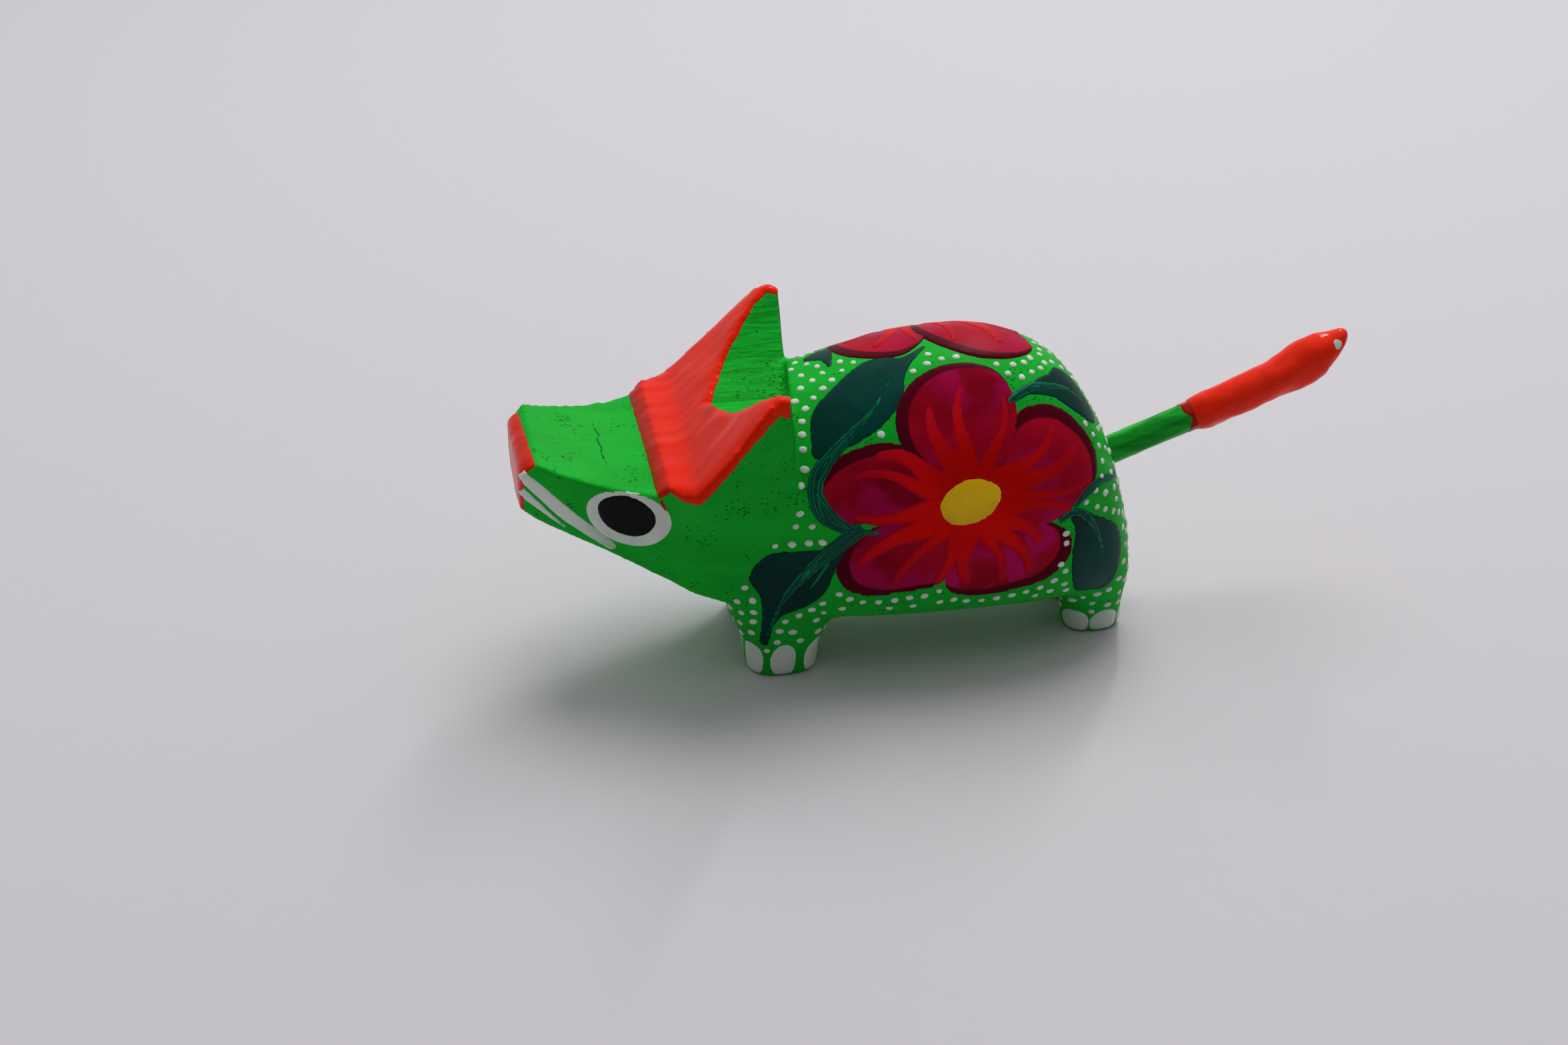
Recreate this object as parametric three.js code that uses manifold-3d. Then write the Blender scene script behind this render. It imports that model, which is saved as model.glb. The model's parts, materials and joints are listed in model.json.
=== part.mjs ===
// A small carved and painted wooden animal with an upturned snout, a pair of sawn ears and a stick tail.
// Millimetres. +Z is up and z = 0 is the table. The animal faces -Y, its left side is +X, its tail points to +Y.
// One block of soft wood is sawn and whittled into body, legs, head and ears. The tail is a separate stick
// pushed into a hole in the rump. Thick coats of paint lie on the wood as thin shells of their own.
import * as THREE from 'three';
import { mergeVertices } from 'three/addons/utils/BufferGeometryUtils.js';
import Module from 'manifold-3d';

const wasm = await Module();
wasm.setup();

// Driving dimensions
const OVERALL_LENGTH = 90.6;
const NOSE_Y = -OVERALL_LENGTH / 2;
const BODY_HALF_WIDTH = 13.2;
const BACK_HEIGHT = 34.1;
const BELLY_HEIGHT = 4.9;
const NECK_Y = -17.2;
const RUMP_Y = 19.6;
const EAR_HEIGHT = 35.2;
const EAR_HALF_WIDTH = 14.2;
const NOTCH_FLOOR_HEIGHT = 28.4;
const EAR_SKEW = THREE.MathUtils.degToRad(8);
const EAR_BACK_SLANT = 0.07;
const TAIL_PITCH = THREE.MathUtils.degToRad(20.5);
const TAIL_ROOT = new THREE.Vector3(0, 18.3, 18.8);
const TAIL_RADIUS = 1.42;
const TAIL_LENGTH = 29.4;
const COAT_START = 9.2;
const PEG_LENGTH = 5;
const PEG_TIP_RADIUS = 1.1;
const SOCKET_RADIUS = 1.62;
const SOCKET_DEPTH = 5.6;
const PAINT_GAP = 0.05;
const PAINT_THICKNESS = 0.3;
const EYE_RADIUS = 4.4;
const PUPIL_RADIUS = 3.0;
const EYE_SQUASH = 0.88;

// Paint and wood colours
const GREEN = { color: 0x26b42a, roughness: 0.42 };
const RED = { color: 0xdc2d19, roughness: 0.3 };
const WHITE = { color: 0xe8ece4, roughness: 0.4 };
const BLACK = { color: 0x101012, roughness: 0.25 };
const YELLOW = { color: 0xc8a83a, roughness: 0.4 };

const figure = new THREE.Group();

function addPart(name, geometry, finish) {
  const material = new THREE.MeshStandardMaterial({ ...finish, metalness: 0 });
  const mesh = new THREE.Mesh(geometry, material);
  mesh.name = name;
  figure.add(mesh);
}

// ---- Solids ----

function solidOf(geometry) {
  const bare = geometry.clone();
  bare.deleteAttribute('normal');
  bare.deleteAttribute('uv');
  const merged = mergeVertices(bare, 1e-4);
  return new wasm.Manifold(new wasm.Mesh({
    numProp: 3,
    vertProperties: new Float32Array(merged.attributes.position.array),
    triVerts: new Uint32Array(merged.index.array),
  }));
}

function geometryOf(solid) {
  const mesh = solid.getMesh();
  const geometry = new THREE.BufferGeometry();
  geometry.setAttribute('position', new THREE.BufferAttribute(mesh.vertProperties, 3));
  geometry.setIndex(new THREE.BufferAttribute(mesh.triVerts, 1));
  geometry.computeVertexNormals();
  return geometry;
}

// A closed skin over rings of equal length, with a flat fan over the first and the last ring.
function loft(rings) {
  const sides = rings[0].length;
  const positions = rings.flat().flatMap((point) => point.toArray());
  const index = [];
  for (let ring = 0; ring < rings.length - 1; ring += 1) {
    for (let side = 0; side < sides; side += 1) {
      const a = ring * sides + side;
      const b = ring * sides + ((side + 1) % sides);
      index.push(a, b, b + sides, a, b + sides, a + sides);
    }
  }
  for (const [ring, turn] of [[0, -1], [rings.length - 1, 1]]) {
    const centre = rings[ring].reduce((sum, point) => sum.add(point), new THREE.Vector3());
    centre.divideScalar(sides);
    const centreIndex = positions.length / 3;
    positions.push(...centre.toArray());
    for (let side = 0; side < sides; side += 1) {
      const a = ring * sides + side;
      const b = ring * sides + ((side + 1) % sides);
      index.push(centreIndex, ...(turn > 0 ? [a, b] : [b, a]));
    }
  }
  const geometry = new THREE.BufferGeometry();
  geometry.setAttribute('position', new THREE.Float32BufferAttribute(positions, 3));
  geometry.setIndex(index);
  return geometry;
}

// A smooth line through a few points, read as a height or width for each position along it.
function smoothLine(points) {
  const curve = new THREE.SplineCurve(points.map(([along, value]) => new THREE.Vector2(along, value)));
  const samples = curve.getPoints(points.length * 16);
  return (along) => {
    const next = samples.findIndex((sample) => sample.x >= along);
    if (next < 0) return samples[samples.length - 1].y;
    if (next === 0) return samples[0].y;
    const [before, after] = [samples[next - 1], samples[next]];
    const share = (along - before.x) / (after.x - before.x);
    return THREE.MathUtils.lerp(before.y, after.y, share);
  };
}

function superellipse(angle, roundness) {
  const power = 2 / roundness;
  const [c, s] = [Math.cos(angle), Math.sin(angle)];
  return [Math.sign(c) * Math.abs(c) ** power, Math.sign(s) * Math.abs(s) ** power];
}

// ---- The carved block. grow swells every surface, which makes the shells of paint. ----

const backLine = smoothLine([
  [-19, 30.8], [-14, 31.7], [-7, 33.4], [0, BACK_HEIGHT], [6, 33.5], [10.5, 31.6], [14, 28.2], [16.8, 23.0],
  [18.6, 17.2], [RUMP_Y, 13],
]);
const bellyLine = smoothLine([[-19, 6.2], [-12, 5.3], [0, BELLY_HEIGHT], [10, BELLY_HEIGHT], [16, 5.2],
  [RUMP_Y, 5.8]]);
const flankLine = smoothLine([
  [-19, 11.8], [-12, 12.6], [-4, BODY_HALF_WIDTH], [4, BODY_HALF_WIDTH], [11, 12.3], [15.5, 10.4], [18, 8.2],
  [RUMP_Y, 5.6],
]);

// How far up from the belly to the back the torso is widest.
const WIDEST_SHARE = 0.46;

function torso(grow) {
  const stations = [-19, -16, -13, -10, -7, -4, -1, 2, 5, 8, 10.5, 12.5, 14.5, 16.2, 17.5, 18.4, 19.1, RUMP_Y];
  const sides = 40;
  const upperRoundness = 2.25;
  const lowerRoundness = 3.3;
  const rings = stations.map((y) => {
    const top = backLine(y) + grow;
    const bottom = bellyLine(y) - grow;
    const middle = THREE.MathUtils.lerp(bottom, top, WIDEST_SHARE);
    const halfWidth = flankLine(y) + grow;
    const endShift = y === RUMP_Y ? grow : 0;
    return Array.from({ length: sides }, (_, side) => {
      const angle = (-2 * Math.PI * side) / sides;
      const upper = Math.sin(angle) >= 0;
      const [across, high] = superellipse(angle, upper ? upperRoundness : lowerRoundness);
      const reach = upper ? top - middle : middle - bottom;
      return new THREE.Vector3(across * halfWidth, y + endShift, middle + high * reach);
    });
  });
  return solidOf(loft(rings));
}

// Each leg is a stub that narrows towards a flat sole. It reaches up into the body, and its shoulder
// or hip stands a little proud of the flank.
const FRONT_LEG = {
  sole: { x: 5.4, y: -18.7, halfX: 3.2, halfY: 3.6 },
  top: { x: 5.6, y: -18.5, halfX: 5.6, halfY: 7.0, z: 10.5 },
  shoulder: { x: 5.6, y: -16.4, halfX: 6.35, halfY: 5.6, z: 21.6 },
};
const HIND_LEG = {
  sole: { x: 3.7, y: 16.2, halfX: 2.5, halfY: 2.9 },
  top: { x: 4.6, y: 14.9, halfX: 4.3, halfY: 4.9, z: 8 },
  shoulder: { x: 5.0, y: 12.8, halfX: 4.6, halfY: 4.8, z: 15 },
};

function leg(plan, side, grow) {
  const levels = [
    { ...plan.sole, z: 0 },
    { ...plan.sole, z: 0.6, halfX: plan.sole.halfX + 0.25, halfY: plan.sole.halfY + 0.25 },
    { ...plan.sole, z: 3, halfX: plan.sole.halfX + 0.35, halfY: plan.sole.halfY + 0.4 },
    plan.top,
    plan.shoulder,
  ];
  const sides = 24;
  const roundness = 2.6;
  const rings = levels.map((level) => Array.from({ length: sides }, (_, step) => {
    const [across, along] = superellipse((2 * Math.PI * step) / sides, roundness);
    return new THREE.Vector3(
      side * level.x + across * (level.halfX + grow),
      level.y + along * (level.halfY + grow),
      level.z,
    );
  }));
  return solidOf(loft(rings));
}

// The head is sawn from a wedge: wide and tall at the ears, narrow at the snout. Each station gives the
// height and half width of the top, and of the jaw below it.
const HEAD_STATIONS = [
  { y: NOSE_Y, top: 25.6, topHalf: 6.6, jaw: 20.6, jawHalf: 4.7 },
  { y: NOSE_Y + 1.5, top: 27.0, topHalf: 7.4, jaw: 19.5, jawHalf: 5.0 },
  { y: -41.4, top: 26.1, topHalf: 8.3, jaw: 18.3, jawHalf: 5.7 },
  { y: -38.0, top: 25.2, topHalf: 9.4, jaw: 16.6, jawHalf: 6.5 },
  { y: -34.6, top: 24.7, topHalf: 10.8, jaw: 14.8, jawHalf: 7.3 },
  { y: -31.9, top: 24.7, topHalf: 12.0, jaw: 13.3, jawHalf: 7.9 },
  { y: -30.9, top: 25.8, topHalf: 12.5, jaw: 12.8, jawHalf: 8.1 },
  { y: -29.6, top: 25.5, topHalf: 13.4, jaw: 12.1, jawHalf: 8.4 },
  { y: -27.8, top: 25.8, topHalf: 14.7, jaw: 11.1, jawHalf: 8.8 },
  { y: -23.6, top: 30.0, topHalf: 15.3, jaw: 9.8, jawHalf: 9.4 },
  { y: -19.6, top: 34.5, topHalf: 14.9, jaw: 9.4, jawHalf: 9.6 },
  { y: -18.4, top: EAR_HEIGHT, topHalf: EAR_HALF_WIDTH, jaw: 9.4, jawHalf: 9.6 },
  { y: NECK_Y, top: EAR_HEIGHT - 0.4, topHalf: EAR_HALF_WIDTH - 0.3, jaw: 9.6, jawHalf: 9.6 },
];
const SKEW_START_Y = -36;
const LEAN_START_Y = -22;

// Where the cheek bends between jaw and top, and how far each wide face swells out in its middle.
const CHEEK_SHARE = 0.45;
const CHEEK_SWELL = 0.1;
const JAW_SWELL = 0.5;
const TOP_SWELL = 0.15;

// The ears were sawn a few degrees off square, so the left one sits further forward than the right one,
// and the saw leaned, so the back of the head runs a little towards the tail on its way down.
function sawn(x, y, z) {
  const share = THREE.MathUtils.smoothstep(y, SKEW_START_Y, NECK_Y);
  const lean = THREE.MathUtils.smoothstep(y, LEAN_START_Y, NECK_Y) * Math.max(EAR_HEIGHT - z, 0);
  return new THREE.Vector3(x, y - x * Math.tan(EAR_SKEW) * share + lean * EAR_BACK_SLANT, z);
}

function head(grow) {
  const lastStation = HEAD_STATIONS.length - 1;
  const rings = HEAD_STATIONS.map((station, index) => {
    const top = station.top + grow;
    const jaw = station.jaw - grow;
    const topHalf = station.topHalf + grow;
    const jawHalf = station.jawHalf + grow;
    const endShift = index === 0 ? -grow : index === lastStation ? grow : 0;
    const cheek = new THREE.Vector2(THREE.MathUtils.lerp(jawHalf, topHalf, CHEEK_SHARE) + CHEEK_SWELL,
      THREE.MathUtils.lerp(jaw, top, CHEEK_SHARE));
    const left = [[topHalf, top], [cheek.x, cheek.y], [jawHalf, jaw]];
    const right = left.map(([x, z]) => [-x, z]).reverse();
    return [...left, [0, jaw - JAW_SWELL], ...right, [0, top + TOP_SWELL]].map(([x, z]) => {
      const point = sawn(x, station.y, z);
      point.y += endShift;
      return point;
    });
  });
  return solidOf(loft(rings));
}

// The V sawn down between the ears. It is open in front and above, and it ends at the back of the head.
function earNotch(grow) {
  const wall = [[0, NOTCH_FLOOR_HEIGHT], [6.2, 30.3], [9.9, 32.8], [12.9, EAR_HEIGHT + 0.2], [14.6, EAR_HEIGHT + 3]];
  const right = wall.map(([x, z]) => [Math.max(x - grow, 0), z + grow]);
  const left = right.slice(1).map(([x, z]) => [-x, z]).reverse();
  const outline = [...right, ...left].reverse();
  const front = outline.map(([x, z]) => new THREE.Vector3(x, NECK_Y - 22, z));
  const back = outline.map(([x, z]) => sawn(x, NECK_Y, z).add(new THREE.Vector3(0, grow + 0.02, 0)));
  return solidOf(loft([front, back]));
}

function tailSocket() {
  const mouth = 6;
  const geometry = new THREE.CylinderGeometry(SOCKET_RADIUS, SOCKET_RADIUS, SOCKET_DEPTH + mouth, 12);
  geometry.translate(0, (mouth - SOCKET_DEPTH) / 2, 0);
  return solidOf(alongTail(geometry));
}

// Lays a shape that is built upwards along +Y from the origin along the tail, from the tail's root.
function alongTail(geometry) {
  geometry.rotateX(TAIL_PITCH);
  geometry.translate(TAIL_ROOT.x, TAIL_ROOT.y, TAIL_ROOT.z);
  return geometry;
}

const blocks = new Map();

function block(grow) {
  if (!blocks.has(grow)) {
    let solid = head(grow).add(torso(grow)).subtract(earNotch(grow));
    for (const side of [1, -1]) {
      solid = solid.add(leg(FRONT_LEG, side, grow));
      solid = solid.add(leg(HIND_LEG, side, grow));
    }
    blocks.set(grow, solid);
  }
  return blocks.get(grow);
}

// ---- Coats of paint: what lies between two swellings of the block, inside a region. ----

function coat(region, under = 0) {
  const inner = under + PAINT_GAP;
  return geometryOf(region.intersect(block(inner + PAINT_THICKNESS)).subtract(block(inner)));
}

// An oval rod that stands on the surface at a point, along the outward direction there, and reaches a
// little way into the wood.
function ovalRegion(centre, outward, halfWidth, halfHeight, reach, tilt = 0) {
  const proud = 2;
  const sides = 32;
  const rod = new THREE.CylinderGeometry(1, 1, reach + proud, sides);
  rod.translate(0, (proud - reach) / 2, 0);
  const along = new THREE.Vector3(-outward.y, outward.x, 0).normalize();
  const upward = new THREE.Vector3().crossVectors(outward, along).normalize();
  along.applyAxisAngle(outward, tilt);
  upward.applyAxisAngle(outward, tilt);
  rod.scale(halfWidth, 1, halfHeight);
  rod.applyMatrix4(new THREE.Matrix4().makeBasis(along, outward, upward.negate()));
  rod.translate(centre.x, centre.y, centre.z);
  return solidOf(rod);
}

// A band across the head: an outline in side view, carried from one side to the other along the saw's skew.
function headBand(outline, fromX, toX) {
  const ring = (x) => outline.map(([y, z]) => {
    const share = THREE.MathUtils.smoothstep(y, SKEW_START_Y, NECK_Y);
    return new THREE.Vector3(x, y - x * Math.tan(EAR_SKEW) * share, z);
  });
  return solidOf(loft([ring(fromX), ring(toX)]));
}

const CREST_OUTLINE = [
  [-32.3, 24.9], [-31.9, 24.6], [-30.9, 25.5], [-29.6, 25.2], [-27.8, 25.5], [-23.6, 29.6], [-19.6, 34.1],
  [-18.5, 34.7], [-18.3, 37], [-24, 35], [-33, 30],
];
const NOSE_OUTLINE = [
  [NOSE_Y - 2, 19.5], [NOSE_Y + 0.15, 20.9], [NOSE_Y + 0.15, 25.4], [NOSE_Y + 1.5, 26.6], [NOSE_Y + 1.6, 29],
  [NOSE_Y - 2, 29],
];
const EYE = new THREE.Vector3(9.7, -35.1, 22.0);
const EYE_OUTWARD = new THREE.Vector3(0.87, -0.4, -0.29).normalize();
const EYE_REACH = 0.5;
const NAIL_REACH = 1.5;
const FRONT_NAILS = { leg: FRONT_LEG, angles: [-55, -5, 46], z: 2.35, halfWidth: 1.4, halfHeight: 2.1 };
const HIND_NAILS = { leg: HIND_LEG, angles: [-47, 14, 75], z: 1.65, halfWidth: 1.5, halfHeight: 1.4 };

// The left flower looks straight out of the flank. The right one is higher, and its petals reach over the back.
const FLOWERS = {
  left: { centre: new THREE.Vector3(13.1, -0.4, 21.4), outward: new THREE.Vector3(1, 0, 0), tilt: 17 },
  right: { centre: new THREE.Vector3(-10.8, -1.5, 27.4), outward: new THREE.Vector3(-0.79, 0, 0.61), tilt: -17 },
};
const FLOWER_CENTRE_HALF_WIDTH = 3.5;
const FLOWER_CENTRE_HALF_HEIGHT = 2.7;
const FLOWER_CENTRE_REACH = 1.5;

function mirrored(vector, side) {
  return new THREE.Vector3(vector.x * side, vector.y, vector.z);
}

function addNails(name, nails, side, sideName) {
  const { sole } = nails.leg;
  nails.angles.forEach((degrees, index) => {
    const angle = THREE.MathUtils.degToRad(degrees);
    const outward = new THREE.Vector3(side * Math.cos(angle), Math.sin(angle), 0);
    const centre = new THREE.Vector3(
      side * (sole.x + Math.cos(angle) * sole.halfX),
      sole.y + Math.sin(angle) * sole.halfY,
      nails.z,
    );
    const region = ovalRegion(centre, outward, nails.halfWidth, nails.halfHeight, NAIL_REACH);
    addPart(`toenail_${name}_${sideName}_${index + 1}`, coat(region), WHITE);
  });
}

function addEye(side, sideName) {
  const centre = mirrored(EYE, side);
  const outward = mirrored(EYE_OUTWARD, side);
  const white = ovalRegion(centre, outward, EYE_RADIUS, EYE_RADIUS * EYE_SQUASH, EYE_REACH);
  const pupil = ovalRegion(centre, outward, PUPIL_RADIUS, PUPIL_RADIUS * EYE_SQUASH, EYE_REACH);
  addPart(`eye_white_${sideName}`, coat(white), WHITE);
  addPart(`eye_pupil_${sideName}`, coat(pupil, PAINT_GAP + PAINT_THICKNESS), BLACK);
}

function addFlowerCentre(sideName) {
  const { centre, outward, tilt } = FLOWERS[sideName];
  const region = ovalRegion(centre, outward.clone().normalize(), FLOWER_CENTRE_HALF_WIDTH,
    FLOWER_CENTRE_HALF_HEIGHT, FLOWER_CENTRE_REACH, THREE.MathUtils.degToRad(tilt));
  addPart(`flower_centre_${sideName}`, coat(region), YELLOW);
}

function addPaint() {
  addPart('crest_and_ear_coat', coat(headBand(CREST_OUTLINE, -20, 20)), RED);
  addPart('nose_coat', coat(headBand(NOSE_OUTLINE, -10, 10)), RED);
  for (const [sideName, side] of [['left', 1], ['right', -1]]) {
    addEye(side, sideName);
    addNails('front', FRONT_NAILS, side, sideName);
    addNails('hind', HIND_NAILS, side, sideName);
    addFlowerCentre(sideName);
  }
}

// ---- The tail: a whittled stick with a peg at its root and a thick dipped coat on its far half. ----

const TAIL_BEND = 1.1;
const TAIL_BEND_START = 15;

function tailBend(along) {
  return TAIL_BEND * THREE.MathUtils.smoothstep(along, TAIL_BEND_START, TAIL_LENGTH);
}

function tailRing(along, radius, sides) {
  return Array.from({ length: sides }, (_, side) => {
    const angle = (2 * Math.PI * (side + 0.5)) / sides;
    return new THREE.Vector3(Math.cos(angle) * radius, along, tailBend(along) + Math.sin(angle) * radius);
  });
}

function tailStick(grow) {
  const facets = 8;
  const tipAlong = TAIL_LENGTH - 1.4;
  const levels = [
    [-PEG_LENGTH - grow, PEG_TIP_RADIUS], [-PEG_LENGTH + 0.6, PEG_TIP_RADIUS + 0.15], [0, TAIL_RADIUS],
    [COAT_START, TAIL_RADIUS - 0.05], [16, TAIL_RADIUS - 0.1], [21, TAIL_RADIUS - 0.2],
    [25, TAIL_RADIUS - 0.35], [tipAlong + grow, TAIL_RADIUS - 0.7],
  ];
  const rings = levels.map(([along, radius]) => tailRing(along, radius + grow, facets).reverse());
  return solidOf(alongTail(loft(rings)));
}

// The dipped coat hangs thicker towards the far end and rounds off over the tip.
function tailCoat() {
  const sides = 16;
  const levels = [
    [COAT_START, 1.62], [COAT_START + 0.7, 1.9], [12.5, 2.0], [16, 1.95], [19, 2.1], [22, 2.05], [25, 2.0],
    [27, 1.7], [28.1, 1.2], [TAIL_LENGTH, 0.5],
  ];
  const rings = levels.map(([along, radius]) => tailRing(along, radius, sides).reverse());
  return solidOf(alongTail(loft(rings))).subtract(tailStick(PAINT_GAP));
}

addPart('carved_body', geometryOf(block(0).subtract(tailSocket())), GREEN);
addPaint();
addPart('tail_stick', geometryOf(tailStick(0)), GREEN);
addPart('tail_tip_coat', geometryOf(tailCoat()), RED);

export default figure;
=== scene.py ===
"""A small carved animal of copal wood, painted with flowers, leaves and dots.

Every length inside the functions is in millimetres, in the frame of the carved block: +Z up, the animal
faces -Y and its left side is +X. Meshes are turned into metres when a piece is made.
"""

import functools
import json
import math
import random

import bpy
import numpy as np
from bpy.props import FloatProperty, FloatVectorProperty, IntProperty, PointerProperty
from mathutils import Matrix, Vector, noise
from mathutils.bvhtree import BVHTree
from mathutils.geometry import delaunay_2d_cdt
from mathutils.kdtree import KDTree

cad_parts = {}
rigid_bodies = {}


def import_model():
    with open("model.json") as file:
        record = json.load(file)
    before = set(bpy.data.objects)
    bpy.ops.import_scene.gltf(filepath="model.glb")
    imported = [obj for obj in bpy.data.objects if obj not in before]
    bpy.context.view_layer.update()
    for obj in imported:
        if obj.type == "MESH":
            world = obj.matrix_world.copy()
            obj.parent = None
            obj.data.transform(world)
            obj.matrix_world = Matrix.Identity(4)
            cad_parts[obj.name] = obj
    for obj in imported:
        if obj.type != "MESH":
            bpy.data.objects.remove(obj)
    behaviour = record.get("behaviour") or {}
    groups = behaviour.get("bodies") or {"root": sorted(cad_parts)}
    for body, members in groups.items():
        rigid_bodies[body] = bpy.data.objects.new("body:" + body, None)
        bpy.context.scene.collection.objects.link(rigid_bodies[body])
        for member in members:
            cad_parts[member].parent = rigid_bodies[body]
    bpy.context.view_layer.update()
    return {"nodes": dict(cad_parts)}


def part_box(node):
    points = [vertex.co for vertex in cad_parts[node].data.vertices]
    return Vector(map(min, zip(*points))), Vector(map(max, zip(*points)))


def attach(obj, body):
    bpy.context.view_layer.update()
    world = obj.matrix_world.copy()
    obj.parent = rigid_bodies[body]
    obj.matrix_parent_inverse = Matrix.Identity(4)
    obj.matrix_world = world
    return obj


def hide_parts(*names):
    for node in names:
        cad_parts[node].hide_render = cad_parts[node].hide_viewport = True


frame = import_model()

bl_info = {
    "name": "Carved and Painted Animal",
    "version": (1, 0, 0),
    "blender": (4, 5, 0),
    "location": "3D View > Sidebar > Carving",
    "description": "Lays the wood surface, the paint and the whittled tail of a small carved animal",
    "category": "Object",
}

MM = 0.001                  # metres in a millimetre
SIDES = {"left": 1, "right": -1}
BODY_NAME = "painted_body"


# ---- Measures that the parts share ----

AXIS_HEIGHT = 19.0          # the flank's pattern is wrapped round a line at this height
FLANK_RADIUS = 13.5
CAST_FROM = 40              # how far outside a pattern plane a line to the surface starts
FARTHEST = 9.0              # a surface further than this from its pattern plane is not the one meant
SINK = 0.02                 # how deep the rim of a paint film dips into the wood
BURY = 0.12                 # how deep the hidden underside of a film lies

# How high painted shapes stand on the wood, in thicknesses of a film, so that each lies over those before it.
FILMS = {
    "eye_white": 1.6, "eye_pupil": 3.6, "speck": 2.6, "whisker": 2.2, "nail": 3,
    "petal": 1, "next_petal": 0.35, "flames": 2.9, "flower_middle": 5.2,
    "leaf": 1.7, "flank_stem": 3.2, "shoulder_stem": 3.0, "next_stroke": 0.2,
}

EAR_SKEW = math.radians(8)
SKEW_START_Y = -36.0
NECK_Y = -17.2
LEAN_START_Y = -22.0
EAR_HEIGHT = 35.2
EAR_BACK_SLANT = 0.07

SNOUT_TOP = 24.0
CRACK_Y = -37.4             # foremost place of the snout's crack
CRACK_WANDER = 1.5

TAIL_ROOT = Vector((0, 18.3, 18.8))
TAIL_PITCH = math.radians(20.5)
TAIL_LENGTH = 29.4
TAIL_BEND = 1.1
TAIL_BEND_START = 15.0
PEG_END = -5.0              # the stick's hidden end, from the root
SLANT_LENGTH = 5            # the stretch of the tail that its aslant end takes


def screen_colour(red, green, blue):
    """A colour as seen on a screen, 0 to 255, as the linear light that a shader works in."""
    def linear(value):
        share = value / 255
        return share / 12.92 if share <= 0.04045 else ((share + 0.055) / 1.055) ** 2.4
    return (linear(red), linear(green), linear(blue))


def ease(value):
    """A smooth step from 0 to 1."""
    share = np.clip(value, 0.0, 1.0)
    return share * share * (3 - 2 * share)


# ---- Settings ----


def length(name, description, default):
    """A setting that is a length, with its default in millimetres."""
    return FloatProperty(name=name, description=description, default=default * MM, unit="LENGTH", precision=5)


def colour(name, description, default):
    """A setting that is a colour, with its default as seen on a screen."""
    return FloatVectorProperty(name=name, description=description, default=screen_colour(*default),
                               subtype="COLOR", min=0, max=1)


class WoodSettings(bpy.types.PropertyGroup):
    """How fine the carved surface is."""
    grain: length("Surface grid", "Size of the small faces of the carved surface", 0.31)
    waviness: length("Knife waves", "How far the knife left the surface from true", 0.07)
    sanding: IntProperty(name="Sanding", description="Rounds of smoothing on the torso and legs", default=45)
    head_sanding: IntProperty(name="Head sanding", description="Rounds of smoothing on the sawn head",
                              default=3)


class PaintSettings(bpy.types.PropertyGroup):
    """Colours and film thickness of the paints."""
    green: colour("Green", "Ground colour of the animal", (22, 184, 48))
    red: colour("Red", "Crest, nose and tail tip", (242, 36, 4))
    thin_red: colour("Thin red", "Red where the coat is thin", (196, 30, 10))
    white: colour("White", "Dots, eyes, nails and whiskers", (226, 236, 224))
    black: colour("Black", "Pupils", (22, 22, 26))
    yellow: colour("Yellow", "Middle of the flowers", (255, 206, 20))
    crimson: colour("Crimson", "Body of the petals", (184, 14, 42))
    burgundy: colour("Burgundy", "Dark rim of the petals", (84, 8, 26))
    # Magenta is partly the petals' own pink and partly painted sheen of the glossy petals.
    magenta_and_sheen: colour("Magenta", "Lights on the petals", (186, 18, 92))
    flame: colour("Flame red", "Strokes that run out from the middle of a flower", (232, 18, 10))
    teal: colour("Teal", "Leaves", (0, 70, 60))
    stem: colour("Stem green", "Stems and leaf veins", (0, 132, 84))
    # A lighter copy of the red: painted light that the floor throws back on the tail's coat.
    bounce_lit_red: colour("Dipped red", "Lights on the tail's coat", (252, 46, 18))
    stain: colour("Stain", "Smudges on the yellow", (120, 92, 40))
    glue: colour("Glue", "Thick glue round the tail's hole", (196, 224, 190))
    thin_glue: colour("Thin glue", "Glue that lets the green through", (110, 186, 104))
    coat: length("Thick coat", "Thickness of the red coat on the ears", 0.34)
    film: length("Thin film", "Thickness of a painted shape", 0.042)


class DotSettings(bpy.types.PropertyGroup):
    """The white dots between the flowers."""
    radius: length("Dot radius", "Half the width of a usual dot", 0.35)
    height: length("Dot height", "How far a dot stands up", 0.13)
    spacing: length("Spacing", "Least distance between two dots", 1.36)
    seed: IntProperty(name="Seed", description="Changes where the dots fall", default=7)


class TailSettings(bpy.types.PropertyGroup):
    """The whittled stick and its dipped coat."""
    radius: length("Stick radius", "Half the thickness of the stick at its root", 1.52)
    coat_start: length("Coat start", "Where the red coat begins, from the root", 9.2)
    coat_radius: length("Coat radius", "Half the thickness of the red coat", 2.12)


class StageSettings(bpy.types.PropertyGroup):
    """Camera, lights and floor."""
    camera_azimuth: FloatProperty(name="Azimuth", description="Camera's turn about the animal",
                                  default=math.radians(79), subtype="ANGLE")
    camera_elevation: FloatProperty(name="Elevation", description="Camera's height above the horizon",
                                    default=math.radians(29), subtype="ANGLE")
    camera_distance: length("Distance", "From the camera to its aim", 288)
    lens: FloatProperty(name="Lens", description="Focal length in millimetres", default=60)
    key_power: FloatProperty(name="Key light", description="Power of the large soft light in watts",
                             default=1.9)
    glint_power: FloatProperty(name="Glint", default=0.35,
                               description="Power of the narrow lamp that makes highlights, in watts")
    sky: FloatProperty(name="Sky", description="Strength of the even light all round", default=0.62)
    floor: colour("Floor", "Colour of the sheet that the animal stands on", (212, 209, 213))


# ---- Lines and outlines in a plane ----


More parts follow.
